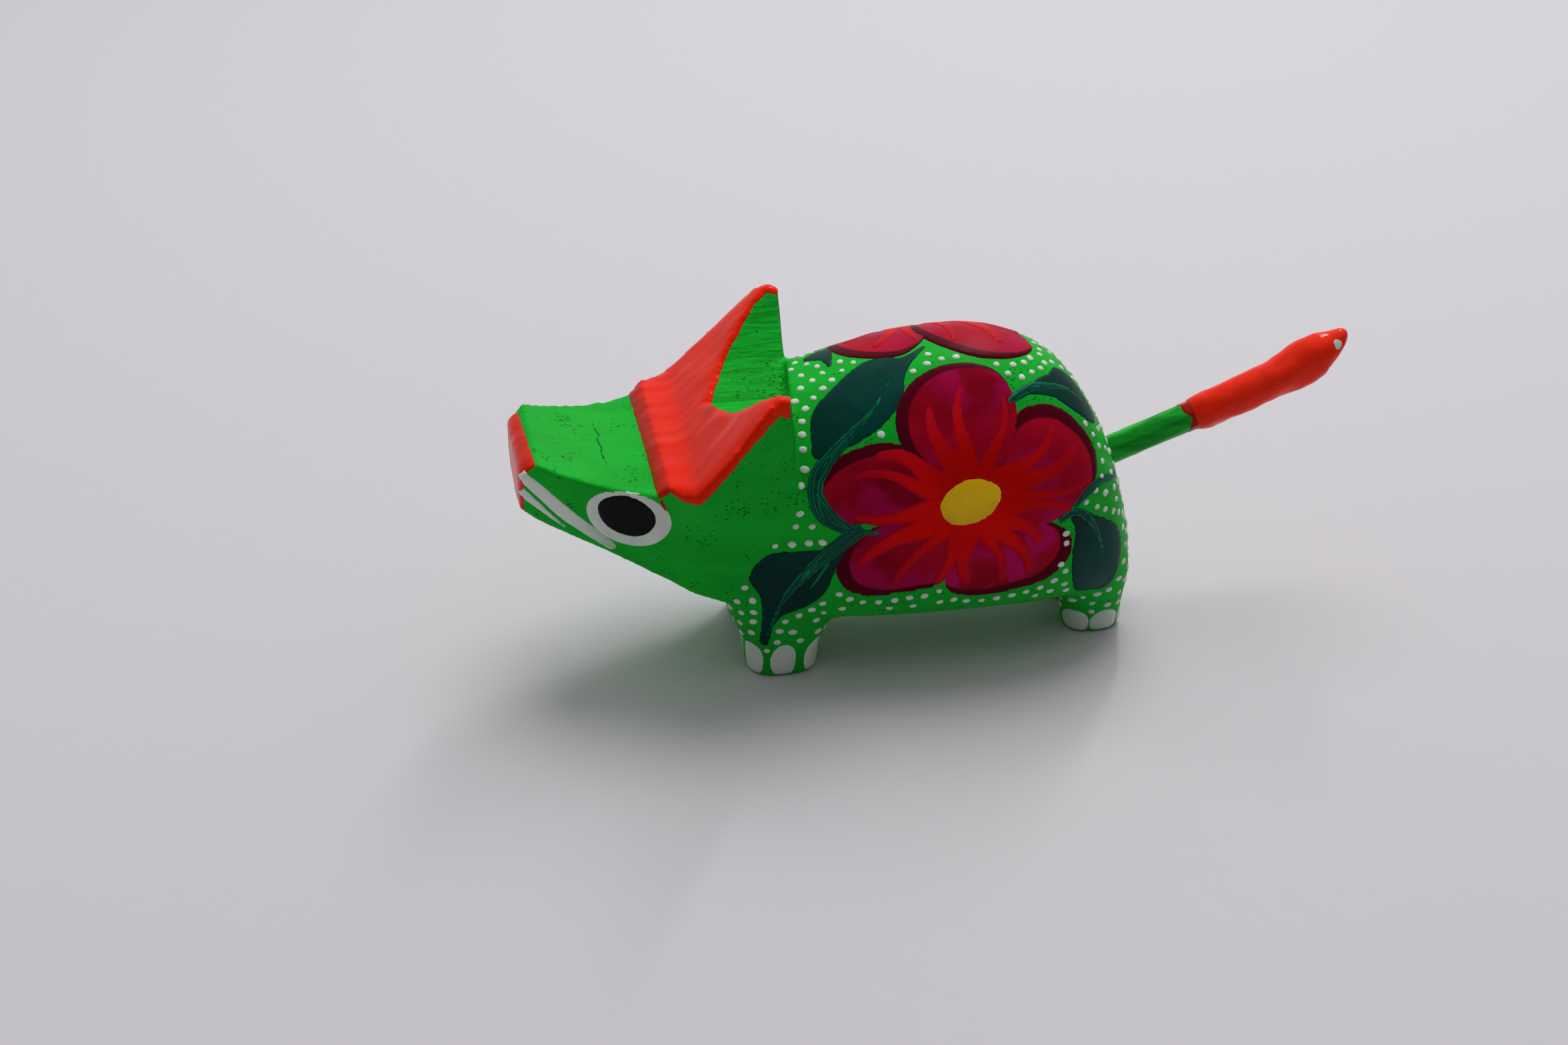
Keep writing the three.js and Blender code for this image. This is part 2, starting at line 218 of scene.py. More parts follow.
def through(corners, step, closed):
    """A smooth line through a few corners, with a point about every step."""
    corners = [Vector(corner) for corner in corners]
    count = len(corners)
    spans = count if closed else count - 1

    def corner(index):
        return corners[index % count] if closed else corners[min(max(index, 0), count - 1)]

    line = []
    for span in range(spans):
        before, start, end, after = (corner(span + shift) for shift in (-1, 0, 1, 2))
        pieces = max(1, round((end - start).length / step))
        for piece in range(pieces):
            t = piece / pieces
            line.append(0.5 * (2 * start + (end - before) * t
                               + (2 * before - 5 * start + 4 * end - after) * t ** 2
                               + (3 * start - before - 3 * end + after) * t ** 3))
    if not closed:
        line.append(corners[-1])
    return line


def ring(corners, step=0.4):
    """A smooth closed line through a few corners."""
    return np.array([tuple(point) for point in through(corners, step, closed=True)])


def oval(centre, half_width, half_height, tilt=0.0, step=0.35, wobble=0.0):
    """An oval outline, as uneven as its wobble says."""
    count = max(12, round(2 * math.pi * max(half_width, half_height) / step))
    angles = np.arange(count) * 2 * math.pi / count
    reach = 1 + wobble * np.sin(3 * angles + tilt * 5) + 0.6 * wobble * np.sin(5 * angles + 1)
    across = half_width * np.cos(angles) * reach
    high = half_height * np.sin(angles) * reach
    c, s = math.cos(tilt), math.sin(tilt)
    return np.stack([centre[0] + across * c - high * s, centre[1] + across * s + high * c], 1)


def stroke(corners, widths, step=0.35):
    """The outline of one brush stroke: a smooth path, as wide as widths say along it, with a round tip."""
    path = np.array([tuple(point) for point in through(corners, step, closed=False)])
    heading = np.gradient(path, axis=0)
    heading /= np.linalg.norm(heading, axis=1)[:, None]
    sideways = np.stack([-heading[:, 1], heading[:, 0]], 1)
    share = np.linspace(0, 1, len(path))
    half = np.interp(share, np.linspace(0, 1, len(widths)), widths)[:, None] / 2
    tip = [path[-1] + half[-1] * (heading[-1] * math.sin(turn) - sideways[-1] * math.cos(turn))
           for turn in np.linspace(0, math.pi, 6)[1:-1]]
    right = path - sideways * half
    left = path + sideways * half
    return np.concatenate([right, np.array(tip), left[::-1]])


def gap_to_line(points, line):
    """Distance from each point to a closed line."""
    steps = np.roll(line, -1, 0) - line
    offsets = points[:, None] - line[None]
    lengths = np.maximum((steps ** 2).sum(1), 1e-12)
    share = np.clip((offsets * steps).sum(2) / lengths, 0, 1)
    return np.linalg.norm(offsets - share[..., None] * steps, axis=2).min(1)


def inside(points, line):
    """Which points lie inside a closed line."""
    following = np.roll(line, -1, 0)
    x, y = points[:, 0, None], points[:, 1, None]
    spans = (line[:, 1] > y) != (following[:, 1] > y)
    rise = following[:, 1] - line[:, 1]
    crossing = line[:, 0] + (y - line[:, 1]) / np.where(rise == 0, 1, rise) * (following[:, 0] - line[:, 0])
    return ((spans & (x < crossing)).sum(1) % 2) == 1


def fill(outline, spacing):
    """Triangles that fill an outline evenly. Returns the flat points and the triangles."""
    low, high = outline.min(0), outline.max(0)
    rows = np.arange(low[1], high[1], spacing * 0.87)
    grid = np.array([(x + (row % 2) * spacing / 2, y)
                     for row, y in enumerate(rows) for x in np.arange(low[0], high[0], spacing)])
    grid = grid[inside(grid, outline)]
    if len(grid):
        grid = grid[gap_to_line(grid, outline) > spacing * 0.45]
    points = np.concatenate([outline, grid]) if len(grid) else outline
    border = list(range(len(outline)))
    flat, _, triangles, *_ = delaunay_2d_cdt([Vector(point) for point in points], [], [border], 1, 1e-4)
    return np.array([tuple(point) for point in flat]), [tuple(face) for face in triangles]


# ---- Meshes ----


class Skin:
    """Points, faces and point values of one piece while it is being made."""

    def __init__(self):
        self.points = []
        self.faces = []
        self.values = {}

    def add(self, points, faces, **values):
        start = len(self.points)
        self.points.extend(tuple(point) for point in points)
        self.faces.extend(tuple(corner + start for corner in face) for face in faces)
        for name, column in values.items():
            self.values.setdefault(name, []).extend(float(value) for value in column)
        return self

    def lay(self, tree, place, outline, lift, rim=0.2, spacing=0.4, values=None):
        """Adds a film of paint. Values works out point values from each point's flat place and from how far
        it is inside the outline."""
        points, faces, flat, inset = drape(tree, place, outline, lift, rim, spacing)
        return self.add(points, faces, **(values(flat, inset) if values else {}))


def make_piece(name, skin, material, body="figure", replaced=()):
    """Turns a skin into a piece that rides on a body."""
    mesh = bpy.data.meshes.new(name)
    mesh.from_pydata([tuple(MM * value for value in point) for point in skin.points], [], skin.faces)
    mesh.shade_smooth()
    for title, column in skin.values.items():
        attribute = mesh.attributes.new(title, "FLOAT", "POINT")
        attribute.data.foreach_set("value", np.array(column, np.float32))
    mesh.materials.append(material)
    piece = bpy.data.objects.new(name, mesh)
    bpy.context.scene.collection.objects.link(piece)
    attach(piece, body)
    if replaced:
        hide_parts(*replaced)
    return piece


def read_mesh(mesh, millimetre=MM):
    """A mesh's points in millimetres, and its faces. Millimetre is how long one is in the mesh's own unit."""
    points = np.zeros(len(mesh.vertices) * 3)
    mesh.vertices.foreach_get("co", points)
    return points.reshape(-1, 3) / millimetre, [tuple(face.vertices) for face in mesh.polygons]


def point_normals(points, faces):
    """The direction that the surface faces at each point."""
    corners = np.array([face[:3] for face in faces])
    a, b, c = (points[corners[:, column]] for column in range(3))
    flat = np.cross(b - a, c - a)
    normals = np.zeros_like(points)
    for face_column in range(max(len(face) for face in faces)):
        owners = np.array([face[face_column] if face_column < len(face) else face[0] for face in faces])
        np.add.at(normals, owners, flat)
    return normals / np.maximum(np.linalg.norm(normals, axis=1), 1e-12)[:, None]


def edges_of(faces):
    """Each pair of points that an edge joins, once."""
    pairs = {tuple(sorted((face[index], face[index - 1]))) for face in faces for index in range(len(face))}
    return np.array(sorted(pairs))


def relax(points, edges, weight, rounds):
    """Moves each point towards the middle of its neighbours, by its weight, a number of times."""
    count = len(points)
    first, second = edges[:, 0], edges[:, 1]
    neighbours = np.maximum(np.bincount(edges.ravel(), minlength=count), 1)
    for _ in range(rounds):
        middle = np.empty_like(points)
        for axis in range(points.shape[1]):
            total = np.bincount(first, points[second, axis], count)
            total += np.bincount(second, points[first, axis], count)
            middle[:, axis] = total / neighbours
        points = points + weight[:, None] * (middle - points)
    return points


def close_rings(layers, sides, flip=False):
    """Faces over rings of points that follow one another, and over two end points that come after them: one
    that closes the first ring and one that closes the last. Flip turns the faces over."""
    faces = []
    first, last, end = layers * sides, layers * sides + 1, (layers - 1) * sides
    for side in range(sides):
        following = (side + 1) % sides
        for start in range(0, end, sides):
            a, b = start + side, start + following
            faces.append((a, b, b + sides, a + sides))
        faces.append((following, side, first))
        faces.append((end + side, end + following, last))
    if flip:
        faces = [(corner, *reversed(others)) for corner, *others in faces]
    return faces


def border_of(faces):
    """The edges that only one face uses, in that face's direction."""
    directed = {(face[index - 1], face[index]) for face in faces for index in range(len(face))}
    return [(a, b) for a, b in sorted(directed) if (b, a) not in directed]


def close_sheet(tops, bottoms, triangles):
    """A closed slab from an upper and a lower sheet over the same triangles."""
    count = len(tops)
    sides = [(b, a, a + count, b + count) for a, b in border_of(triangles)]
    under = [tuple(corner + count for corner in reversed(face)) for face in triangles]
    return list(tops) + list(bottoms), list(triangles) + under + sides


def tree_of(points):
    """A tree that finds the nearest of some points."""
    tree = KDTree(len(points))
    for index, point in enumerate(points):
        tree.insert(point, index)
    tree.balance()
    return tree


# ---- The wood surface that paint is laid on ----


def surface_of(*names):
    """The surface of some pieces as points, faces and a tree to cast lines at."""
    skin = Skin()
    for name in names:
        skin.add(*read_mesh(bpy.data.objects[name].data))
    points = np.array(skin.points)
    return points, skin.faces, BVHTree.FromPolygons(points.tolist(), skin.faces)


def wood_surface():
    """The carved body's surface."""
    return surface_of(BODY_NAME)


def flank_place(side):
    """The flank's pattern plane: along the animal, and around it from its side up to its back."""
    def place(along, around):
        angle = around / FLANK_RADIUS
        outward = Vector((side * math.cos(angle), 0, math.sin(angle)))
        return Vector((0, along, AXIS_HEIGHT)) + outward * FLANK_RADIUS, outward
    return place


def flat_place(centre, outward):
    """A plane that faces outward: across is level, high leans back with the plane."""
    outward = outward.normalized()
    across = Vector((-outward.y, outward.x, 0)).normalized()
    if across.y < 0:
        across.negate()
    upward = across.cross(outward)
    if upward.z < 0:
        upward.negate()

    def place(level, high):
        return centre + across * level + upward * high, outward
    return place


def side_place(side):
    """The plain side view: across is y and high is z."""
    def place(y, z):
        return Vector((side * 14, y, z)), Vector((side, 0, 0))
    return place


def touch(tree, spot, outward):
    """Where the surface lies under a spot of a pattern plane, and which way it faces there. A line that meets
    no surface close enough to the plane has missed, and the surface nearest to the spot is taken."""
    found, normal, _, _ = tree.ray_cast(spot + outward * CAST_FROM, -outward)
    if found is None or abs((found - spot).dot(outward)) > FARTHEST:
        found, normal, _, _ = tree.find_nearest(spot)
    return found, normal


def drape(tree, place, outline, lift, rim, spacing):
    """Lays a filled outline on the surface as a thin closed film that rises to its full height over a rim.
    Returns the slab's points and faces, the flat place of each point and how far it is inside the outline."""
    flat, triangles = fill(outline, spacing)
    inset = gap_to_line(flat, outline)
    raised = lift * ease(inset / rim) - SINK
    tops, bottoms, headings = [], [], []
    for spot, height in zip(flat, raised):
        found, normal = touch(tree, *place(*spot))
        tops.append(found + normal * height)
        bottoms.append(found - normal * BURY)
        headings.append(normal)
    a, b, c = triangles[0]
    if (tops[b] - tops[a]).cross(tops[c] - tops[a]).dot(headings[a]) < 0:
        triangles = [(a, c, b) for a, b, c in triangles]
    points, faces = close_sheet(tops, bottoms, triangles)
    return points, faces, np.concatenate([flat, flat]), np.concatenate([inset, inset])


# ---- Materials ----

# A Mix node for colours has these sockets for the share, the two colours and the result.
MIX_SHARE, MIX_LOW, MIX_HIGH, MIX_RESULT = 0, 6, 7, 2


class Board:
    """A node tree with short ways to add and join nodes."""

    def __init__(self, tree):
        self.tree = tree

    def add(self, kind, settings=None, **inputs):
        node = self.tree.nodes.new(kind)
        for name, value in (settings or {}).items():
            setattr(node, name, value)
        for name, value in inputs.items():
            self.put(node.inputs[name.replace("_", " ")], value)
        return node

    def put(self, socket, value):
        if isinstance(value, bpy.types.NodeSocket):
            self.tree.links.new(value, socket)
        else:
            socket.default_value = value

    def mix(self, share, low, high):
        """A colour that goes from low to high as share goes from 0 to 1."""
        node = self.add("ShaderNodeMix", {"data_type": "RGBA"})
        self.put(node.inputs[MIX_SHARE], share)
        for index, tone in ((MIX_LOW, low), (MIX_HIGH, high)):
            self.put(node.inputs[index], tone if isinstance(tone, bpy.types.NodeSocket) else (*tone, 1))
        return node.outputs[MIX_RESULT]

    def step(self, value, low, high):
        """0 below low and 1 above high, with a smooth rise between."""
        smooth = {"interpolation_type": "SMOOTHSTEP"}
        node = self.add("ShaderNodeMapRange", smooth, From_Min=low, From_Max=high, Value=value)
        return node.outputs["Result"]

    def math(self, operation, first, second=0.0):
        node = self.add("ShaderNodeMath", {"operation": operation})
        self.put(node.inputs[0], first)
        self.put(node.inputs[1], second)
        return node.outputs[0]

    def times(self, first, second):
        return self.math("MULTIPLY", first, second)

    def plus(self, first, second):
        return self.math("ADD", first, second)

    def attribute(self, name):
        return self.add("ShaderNodeAttribute", {"attribute_name": name}).outputs["Fac"]


def new_group(name, inputs, outputs):
    """An empty node group with named number or vector inputs and number outputs."""
    tree = bpy.data.node_groups.new(name, "ShaderNodeTree")
    for title, kind, default in inputs:
        socket = tree.interface.new_socket(title, in_out="INPUT", socket_type=kind)
        socket.default_value = default
    for title in outputs:
        tree.interface.new_socket(title, in_out="OUTPUT", socket_type="NodeSocketFloat")
    board = Board(tree)
    return tree, board, board.add("NodeGroupInput").outputs, board.add("NodeGroupOutput").inputs


def object_place(board, stretch):
    """The place on the piece in metres, plain and stretched along the axes."""
    place = board.add("ShaderNodeTexCoord").outputs["Object"]
    stretched = board.add("ShaderNodeVectorMath", {"operation": "MULTIPLY"})
    board.put(stretched.inputs[0], place)
    board.put(stretched.inputs[1], stretch)
    return place, stretched.outputs[0]


def brush_group():
    """Streaks that a brush leaves: a slow change of shade, and fine ridges along the stroke."""
    found = bpy.data.node_groups.get("Brush Strokes")
    if found:
        return found
    tree, board, given, result = new_group("Brush Strokes", [
        ("Stretch", "NodeSocketVector", (1, 1, 1)),
        ("Scale", "NodeSocketFloat", 600.0),
    ], ["Shade", "Ridges"])
    _, stretched = object_place(board, given["Stretch"])
    slow_scale = board.times(given["Scale"], 0.35)
    slow = board.add("ShaderNodeTexNoise", Vector=stretched, Scale=slow_scale, Detail=3.0)
    fine = board.add("ShaderNodeTexNoise", Vector=stretched, Scale=given["Scale"], Detail=5.0, Roughness=0.6)
    board.put(result["Shade"], board.step(slow.outputs["Fac"], 0.32, 0.68))
    board.put(result["Ridges"], fine.outputs["Fac"])
    return tree


def pore_group():
    """Open pores of the wood, tiny dark pits that are longer along the grain, and the snout's crack."""
    found = bpy.data.node_groups.get("Wood Pores")
    if found:
        return found
    tree, board, given, result = new_group("Wood Pores", [
        ("Stretch", "NodeSocketVector", (1, 1, 1)),
        ("Scale", "NodeSocketFloat", 1500.0),
        ("Amount", "NodeSocketFloat", 0.3),
    ], ["Pits", "Depth", "Crack"])
    place, stretched = object_place(board, given["Stretch"])
    cells = board.add("ShaderNodeTexVoronoi", Vector=stretched, Scale=given["Scale"])
    patches = board.add("ShaderNodeTexNoise", Vector=place, Scale=330.0, Detail=2.0)
    reach = board.times(board.step(patches.outputs["Fac"], 0.36, 0.72), given["Amount"])
    pits = board.step(board.math("SUBTRACT", reach, cells.outputs["Distance"]), 0.0, 0.08)
    board.put(result["Pits"], pits)
    board.put(result["Depth"], board.math("SUBTRACT", 1.0, pits))
    board.put(result["Crack"], snout_crack(board, place))
    return tree


def snout_crack(board, place):
    """1 along the fine broken line of pores that wanders across the top of the snout."""
    parts = board.add("ShaderNodeSeparateXYZ", Vector=place).outputs
    wander = board.add("ShaderNodeTexNoise", Vector=place, Scale=420.0, Detail=4.0)
    broken = board.add("ShaderNodeTexNoise", Vector=place, Scale=1300.0, Detail=2.0)
    line_y = board.plus(CRACK_Y * MM, board.times(wander.outputs["Fac"], CRACK_WANDER * MM))
    gap = board.math("ABSOLUTE", board.math("SUBTRACT", parts["Y"], line_y))
    on_top = board.step(parts["Z"], (SNOUT_TOP - 0.4) * MM, SNOUT_TOP * MM)
    middle = board.step(board.math("ABSOLUTE", parts["X"]), 5.5 * MM, 3.5 * MM)
    line = board.step(gap, 0.16 * MM, 0.06 * MM)
    line = board.times(line, board.step(broken.outputs["Fac"], 0.42, 0.55))
    return board.times(line, board.times(on_top, middle))


class Finish(Board):
    """One paint: a Principled shader whose colour and relief are set step by step. Gloss is the clear coat's
    weight, shine the strength of the paint's own mirror image and sheen that image's tint."""

    def __init__(self, name, roughness, gloss=0.0, shine=0.1, sheen=(1, 1, 1)):
        self.material = bpy.data.materials.new(name)
        self.material.use_nodes = True
        super().__init__(self.material.node_tree)
        self.shader = self.tree.nodes["Principled BSDF"].inputs
        self.shader["Roughness"].default_value = roughness
        self.shader["Specular IOR Level"].default_value = shine
        self.shader["Specular Tint"].default_value = (*sheen, 1)
        self.shader["Coat Weight"].default_value = gloss
        self.shader["Coat Roughness"].default_value = 0.12
        self.relief = None

    def brush(self, stretch, scale):
        """The shade and the ridges of brush strokes."""
        group = self.add("ShaderNodeGroup", {"node_tree": brush_group()}, Stretch=stretch, Scale=scale)
        return group.outputs["Shade"], group.outputs["Ridges"]

    def pores(self, stretch, scale, amount):
        """The pits, their depth and the crack of the wood."""
        return self.add("ShaderNodeGroup", {"node_tree": pore_group()}, Stretch=stretch, Scale=scale,
                        Amount=amount).outputs

    def bump(self, height, strength, depth):
        """Adds relief to what there is. Depth is in millimetres."""
        node = self.add("ShaderNodeBump", Height=height, Strength=strength, Distance=depth * MM)
        if self.relief:
            self.put(node.inputs["Normal"], self.relief)
        self.relief = node.outputs["Normal"]

    def roughen(self, height, amount):
        """Makes the paint rougher where height is greater."""
        socket = self.shader["Roughness"]
        self.put(socket, self.plus(self.times(height, amount), socket.default_value))

    def done(self, base):
        self.put(self.shader["Base Color"], base)
        if self.relief:
            self.put(self.shader["Normal"], self.relief)
        return self.material


def paint(name, settings="carving_paint", **look):
    """Turns a function that lays out a finish and returns its colour into one that gives the material, which
    is built the first time that it is asked for."""
    def wrap(lay_out):
        @functools.wraps(lay_out)
        def material():
            found = bpy.data.materials.get(name)
            if found:
                return found
            finish = Finish(name, **look)
            return finish.done(lay_out(finish, getattr(bpy.context.scene, settings)))
        return material
    return wrap


def darker(tone, share):
    """A share of a colour's light."""
    return tuple(value * share for value in tone)


@paint("brushed_green", roughness=0.34, shine=0.05, sheen=(0.4, 1, 0.5))
def green_paint(finish, paints):
    """Green brushed straight on the wood, with its pores, the snout's crack and the saw's marks."""
    shade, ridges = finish.brush(stretch=(1, 0.25, 1), scale=900)
    pits, depth, crack = finish.pores(stretch=(1, 0.5, 1), scale=2900, amount=0.34)
    _, lines = finish.brush(stretch=(0.4, 0.08, 1.0), scale=2600)
    sawn = finish.attribute("sawn")
    marks = finish.times(sawn, finish.step(lines, 0.56, 0.4))
    tone = finish.mix(shade, paints.green, darker(paints.green, 0.86))
    for mask, weight, share in ((marks, 0.42, 0.4), (pits, 0.85, 0.16), (crack, 0.85, 0.1)):
        tone = finish.mix(finish.times(mask, weight), tone, darker(paints.green, share))
    finish.bump(ridges, strength=0.25, depth=0.05)
    finish.bump(depth, strength=0.6, depth=0.06)
    finish.bump(finish.times(lines, sawn), strength=1.0, depth=0.3)
    finish.roughen(ridges, 0.2)
    return tone


@paint("tail_green", roughness=0.42, gloss=0.03)
def tail_green(finish, paints):
    """The same green in long streaks on the whittled stick."""
    shade, ridges = finish.brush(stretch=(2.2, 0.25, 2.2), scale=900)
    finish.bump(ridges, strength=0.5, depth=0.1)
    return finish.mix(shade, paints.green, darker(paints.green, 0.5))


@paint("thick_red", roughness=0.26, gloss=0.06, shine=0.08, sheen=(1, 0.08, 0.04))
def red_paint(finish, paints):
    """The red coat of the head, darker where it is thin, and darker in the notch between the ears as painted
    shade.
    """
    shade, ridges = finish.brush(stretch=(1, 0.12, 0.12), scale=700)
    finish.bump(ridges, strength=0.15, depth=0.06)
    tone = finish.mix(finish.times(shade, 0.5), paints.red, darker(paints.red, 0.8))
    return finish.mix(finish.attribute("thin"), tone, paints.thin_red)


@paint("tail_red", roughness=0.14, gloss=0.22, sheen=(1, 0.1, 0.06))
def tail_red(finish, paints):
    """The glossy red that the tail was dipped in, painted lighter than the head's red to stand in for the
    light that the floor throws back on it.
    """
    shade, ridges = finish.brush(stretch=(1, 0.4, 1), scale=500)
    finish.bump(ridges, strength=0.35, depth=0.2)
    # Mostly the lighter red: painted bounce light from the floor.
    return finish.mix(finish.times(shade, 0.45), paints.bounce_lit_red, paints.red)


@paint("thin_red", roughness=0.32, gloss=0.05)
def thin_red(finish, paints):
    shade, ridges = finish.brush(stretch=(1, 0.3, 1), scale=1400)
    finish.bump(ridges, strength=0.4, depth=0.05)
    return finish.mix(shade, paints.thin_red, darker(paints.thin_red, 0.55))


@paint("chalky_white", roughness=0.42, gloss=0.03)
def white_paint(finish, paints):
    shade, ridges = finish.brush(stretch=(1, 1, 0.3), scale=1300)
    finish.bump(ridges, strength=0.4, depth=0.05)
    return finish.mix(finish.times(shade, 0.6), paints.white, darker(paints.white, 0.8))


@paint("whisker_paint", roughness=0.42, gloss=0.02)
def whisker_paint(finish, paints):
    """White drawn out so thin that the green shows through at its ends."""
    _, ridges = finish.brush(stretch=(1, 0.5, 1), scale=1500)
    finish.bump(ridges, strength=0.4, depth=0.05)
    worn = finish.plus(finish.attribute("along"), finish.times(ridges, 0.5))
    see_through = finish.times(finish.step(worn, 0.75, 1.5), 0.55)
    return finish.mix(see_through, paints.white, darker(paints.green, 0.8))


@paint("glossy_black", roughness=0.2, gloss=0.03, shine=0.05)
def black_paint(finish, paints):
    shade, ridges = finish.brush(stretch=(1, 1, 1), scale=700)
    finish.bump(ridges, strength=0.2, depth=0.05)
    return finish.mix(shade, paints.black, darker(paints.black, 0.4))


@paint("stained_yellow", roughness=0.42, gloss=0.03)
def yellow_paint(finish, paints):
    shade, ridges = finish.brush(stretch=(1, 0.7, 1), scale=420)
    smudge, _ = finish.brush(stretch=(1, 1, 1), scale=760)
    finish.bump(ridges, strength=0.35, depth=0.07)
    tone = finish.mix(shade, paints.yellow, darker(paints.yellow, 0.82))
    return finish.mix(finish.times(finish.times(smudge, shade), 0.3), tone, paints.stain)


@paint("petal_paint", roughness=0.36, shine=0.03, sheen=(0.8, 0.14, 0.2))
def petal_paint(finish, paints):
    """Crimson glaze with a dark rim, a fainter line inside it, and magenta towards the tip, partly the
    petals' own paint and partly painted sheen.
    """
    shade, ridges = finish.brush(stretch=(1, 0.6, 0.6), scale=380)
    light, _ = finish.brush(stretch=(1, 1, 1), scale=430)
    finish.bump(ridges, strength=0.25, depth=0.05)
    body = finish.mix(shade, paints.crimson, darker(paints.crimson, 0.5))
    # Magenta patches towards the tip: partly paint, partly painted sheen.
    tint = finish.times(finish.step(light, 0.3, 0.75), finish.attribute("tint"))
    body = finish.mix(tint, body, paints.magenta_and_sheen)
    edge = finish.plus(finish.attribute("body"), finish.times(ridges, 0.5))
    return finish.mix(finish.step(edge, 0.15, 0.45), paints.burgundy, body)


@paint("flame_paint", roughness=0.36, shine=0.03, sheen=(0.8, 0.14, 0.2))
def flame_paint(finish, paints):
    """Bright strokes that fade into the petal towards their tips and at their edges."""
    shade, ridges = finish.brush(stretch=(1, 0.6, 0.6), scale=520)
    finish.bump(ridges, strength=0.25, depth=0.05)
    tone = finish.mix(shade, paints.flame, darker(paints.flame, 0.72))
    faded = finish.times(finish.step(finish.attribute("along"), 0.4, 1.05), 0.5)
    tone = finish.mix(faded, tone, paints.crimson)
    edge = finish.plus(finish.attribute("inset"), finish.times(ridges, 0.3))
    return finish.mix(finish.step(edge, 0.85, 0.15), tone, darker(paints.crimson, 0.85))


@paint("leaf_paint", roughness=0.42, gloss=0.02, shine=0.06)
def leaf_paint(finish, paints):
    """Thin teal that lets the wood's pores show."""
    shade, ridges = finish.brush(stretch=(1, 0.5, 0.8), scale=420)
    pits, depth, _ = finish.pores(stretch=(1, 0.5, 1), scale=2500, amount=0.36)
    finish.bump(ridges, strength=0.3, depth=0.05)
    finish.bump(depth, strength=0.4, depth=0.04)
    tone = finish.mix(shade, paints.teal, darker(paints.teal, 0.5))
    return finish.mix(finish.times(pits, 0.5), tone, darker(paints.teal, 0.25))


@paint("stem_paint", roughness=0.42, gloss=0.02, shine=0.08)
def stem_paint(finish, paints):
    """Streaks of two greens that run along the stroke, side by side from its edge to its middle."""
    shade, ridges = finish.brush(stretch=(1, 1, 1), scale=700)
    finish.bump(ridges, strength=0.4, depth=0.06)
    wave = finish.plus(finish.times(finish.attribute("inset"), 17.0), finish.times(ridges, 9.0))
    streak = finish.step(finish.math("SINE", wave), -0.3, 0.9)
    return finish.mix(streak, paints.teal, finish.mix(shade, paints.stem, darker(paints.stem, 0.5)))


@paint("glue_smear", roughness=0.35, gloss=0.3)
def dried_glue(finish, paints):
    shade, ridges = finish.brush(stretch=(1, 1, 1), scale=1600)
    finish.bump(ridges, strength=0.5, depth=0.08)
    return finish.mix(shade, paints.glue, paints.thin_glue)


@paint("floor_sheet", "carving_stage", roughness=0.4, shine=0.03)
def floor_sheet(finish, stage):
    shade, ridges = finish.brush(stretch=(1, 1, 1), scale=900)
    finish.bump(ridges, strength=0.12, depth=0.12)
    return finish.mix(finish.times(shade, 0.3), stage.floor, darker(stage.floor, 0.985))


# ---- The carved body ----


LEG_TOP = 9.0
NOTCH_FLOOR = 28.2          # the sawn notch between the ears lies above this and behind its front
NOTCH_FRONT_Y = -27
BACK_OF_HEAD_LOW = 26


def square_y(points):
    """How far back a point of the head lay before the ears were sawn askew, found in three rounds."""
    x, y, z = points[:, 0], points[:, 1], points[:, 2]
    straight = y.copy()
    for _ in range(3):
        skew = ease((straight - SKEW_START_Y) / (NECK_Y - SKEW_START_Y))
        lean = ease((straight - LEAN_START_Y) / (NECK_Y - LEAN_START_Y)) * np.maximum(EAR_HEIGHT - z, 0)
        straight = y + x * math.tan(EAR_SKEW) * skew - lean * EAR_BACK_SLANT
    return straight


def behind_head(points):
    """How far a point lies behind the sawn back of the head."""
    x, y, z = points[:, 0], points[:, 1], points[:, 2]
    back = NECK_Y - x * math.tan(EAR_SKEW) + np.maximum(EAR_HEIGHT - z, 0) * EAR_BACK_SLANT
    return y - back


def fine_copy(node, cell):
    """A CAD node's surface as small even faces, in millimetres."""
    coarse = node.data.copy()
    coarse.transform(Matrix.Scale(1 / MM, 4))
    holder = bpy.data.objects.new("fine_copy", coarse)
    bpy.context.scene.collection.objects.link(holder)
    remesh = holder.modifiers.new("even_faces", "REMESH")
    remesh.mode = "VOXEL"
    remesh.voxel_size = cell
    bpy.context.view_layer.update()
    finished = holder.evaluated_get(bpy.context.evaluated_depsgraph_get())
    mesh = bpy.data.meshes.new_from_object(finished)
    points, faces = read_mesh(mesh, millimetre=1)
    bpy.data.objects.remove(holder)
    bpy.data.meshes.remove(mesh)
    bpy.data.meshes.remove(coarse)
    return points, faces


def sanding_weight(points):
    """Full on the torso, less on the legs, none on the sawn head, the soles and round the tail's hole."""
    torso = ease((behind_head(points) - 0.5) / 1.6)
    legs = 0.3 * ease((LEG_TOP - points[:, 2]) / 2.0)
    above_table = ease((points[:, 2] - 0.25) / 1.2)
    hole = np.hypot(points[:, 0], points[:, 2] - TAIL_ROOT.z)
    clear_of_hole = np.where(points[:, 1] > 10, ease((hole - 1.7) / 0.8), 1)
    above_legs = 1 - 0.7 * ease((LEG_TOP - 2.0 - points[:, 2]) / 3.0)
    return np.maximum(torso * above_legs, legs) * above_table * clear_of_hole


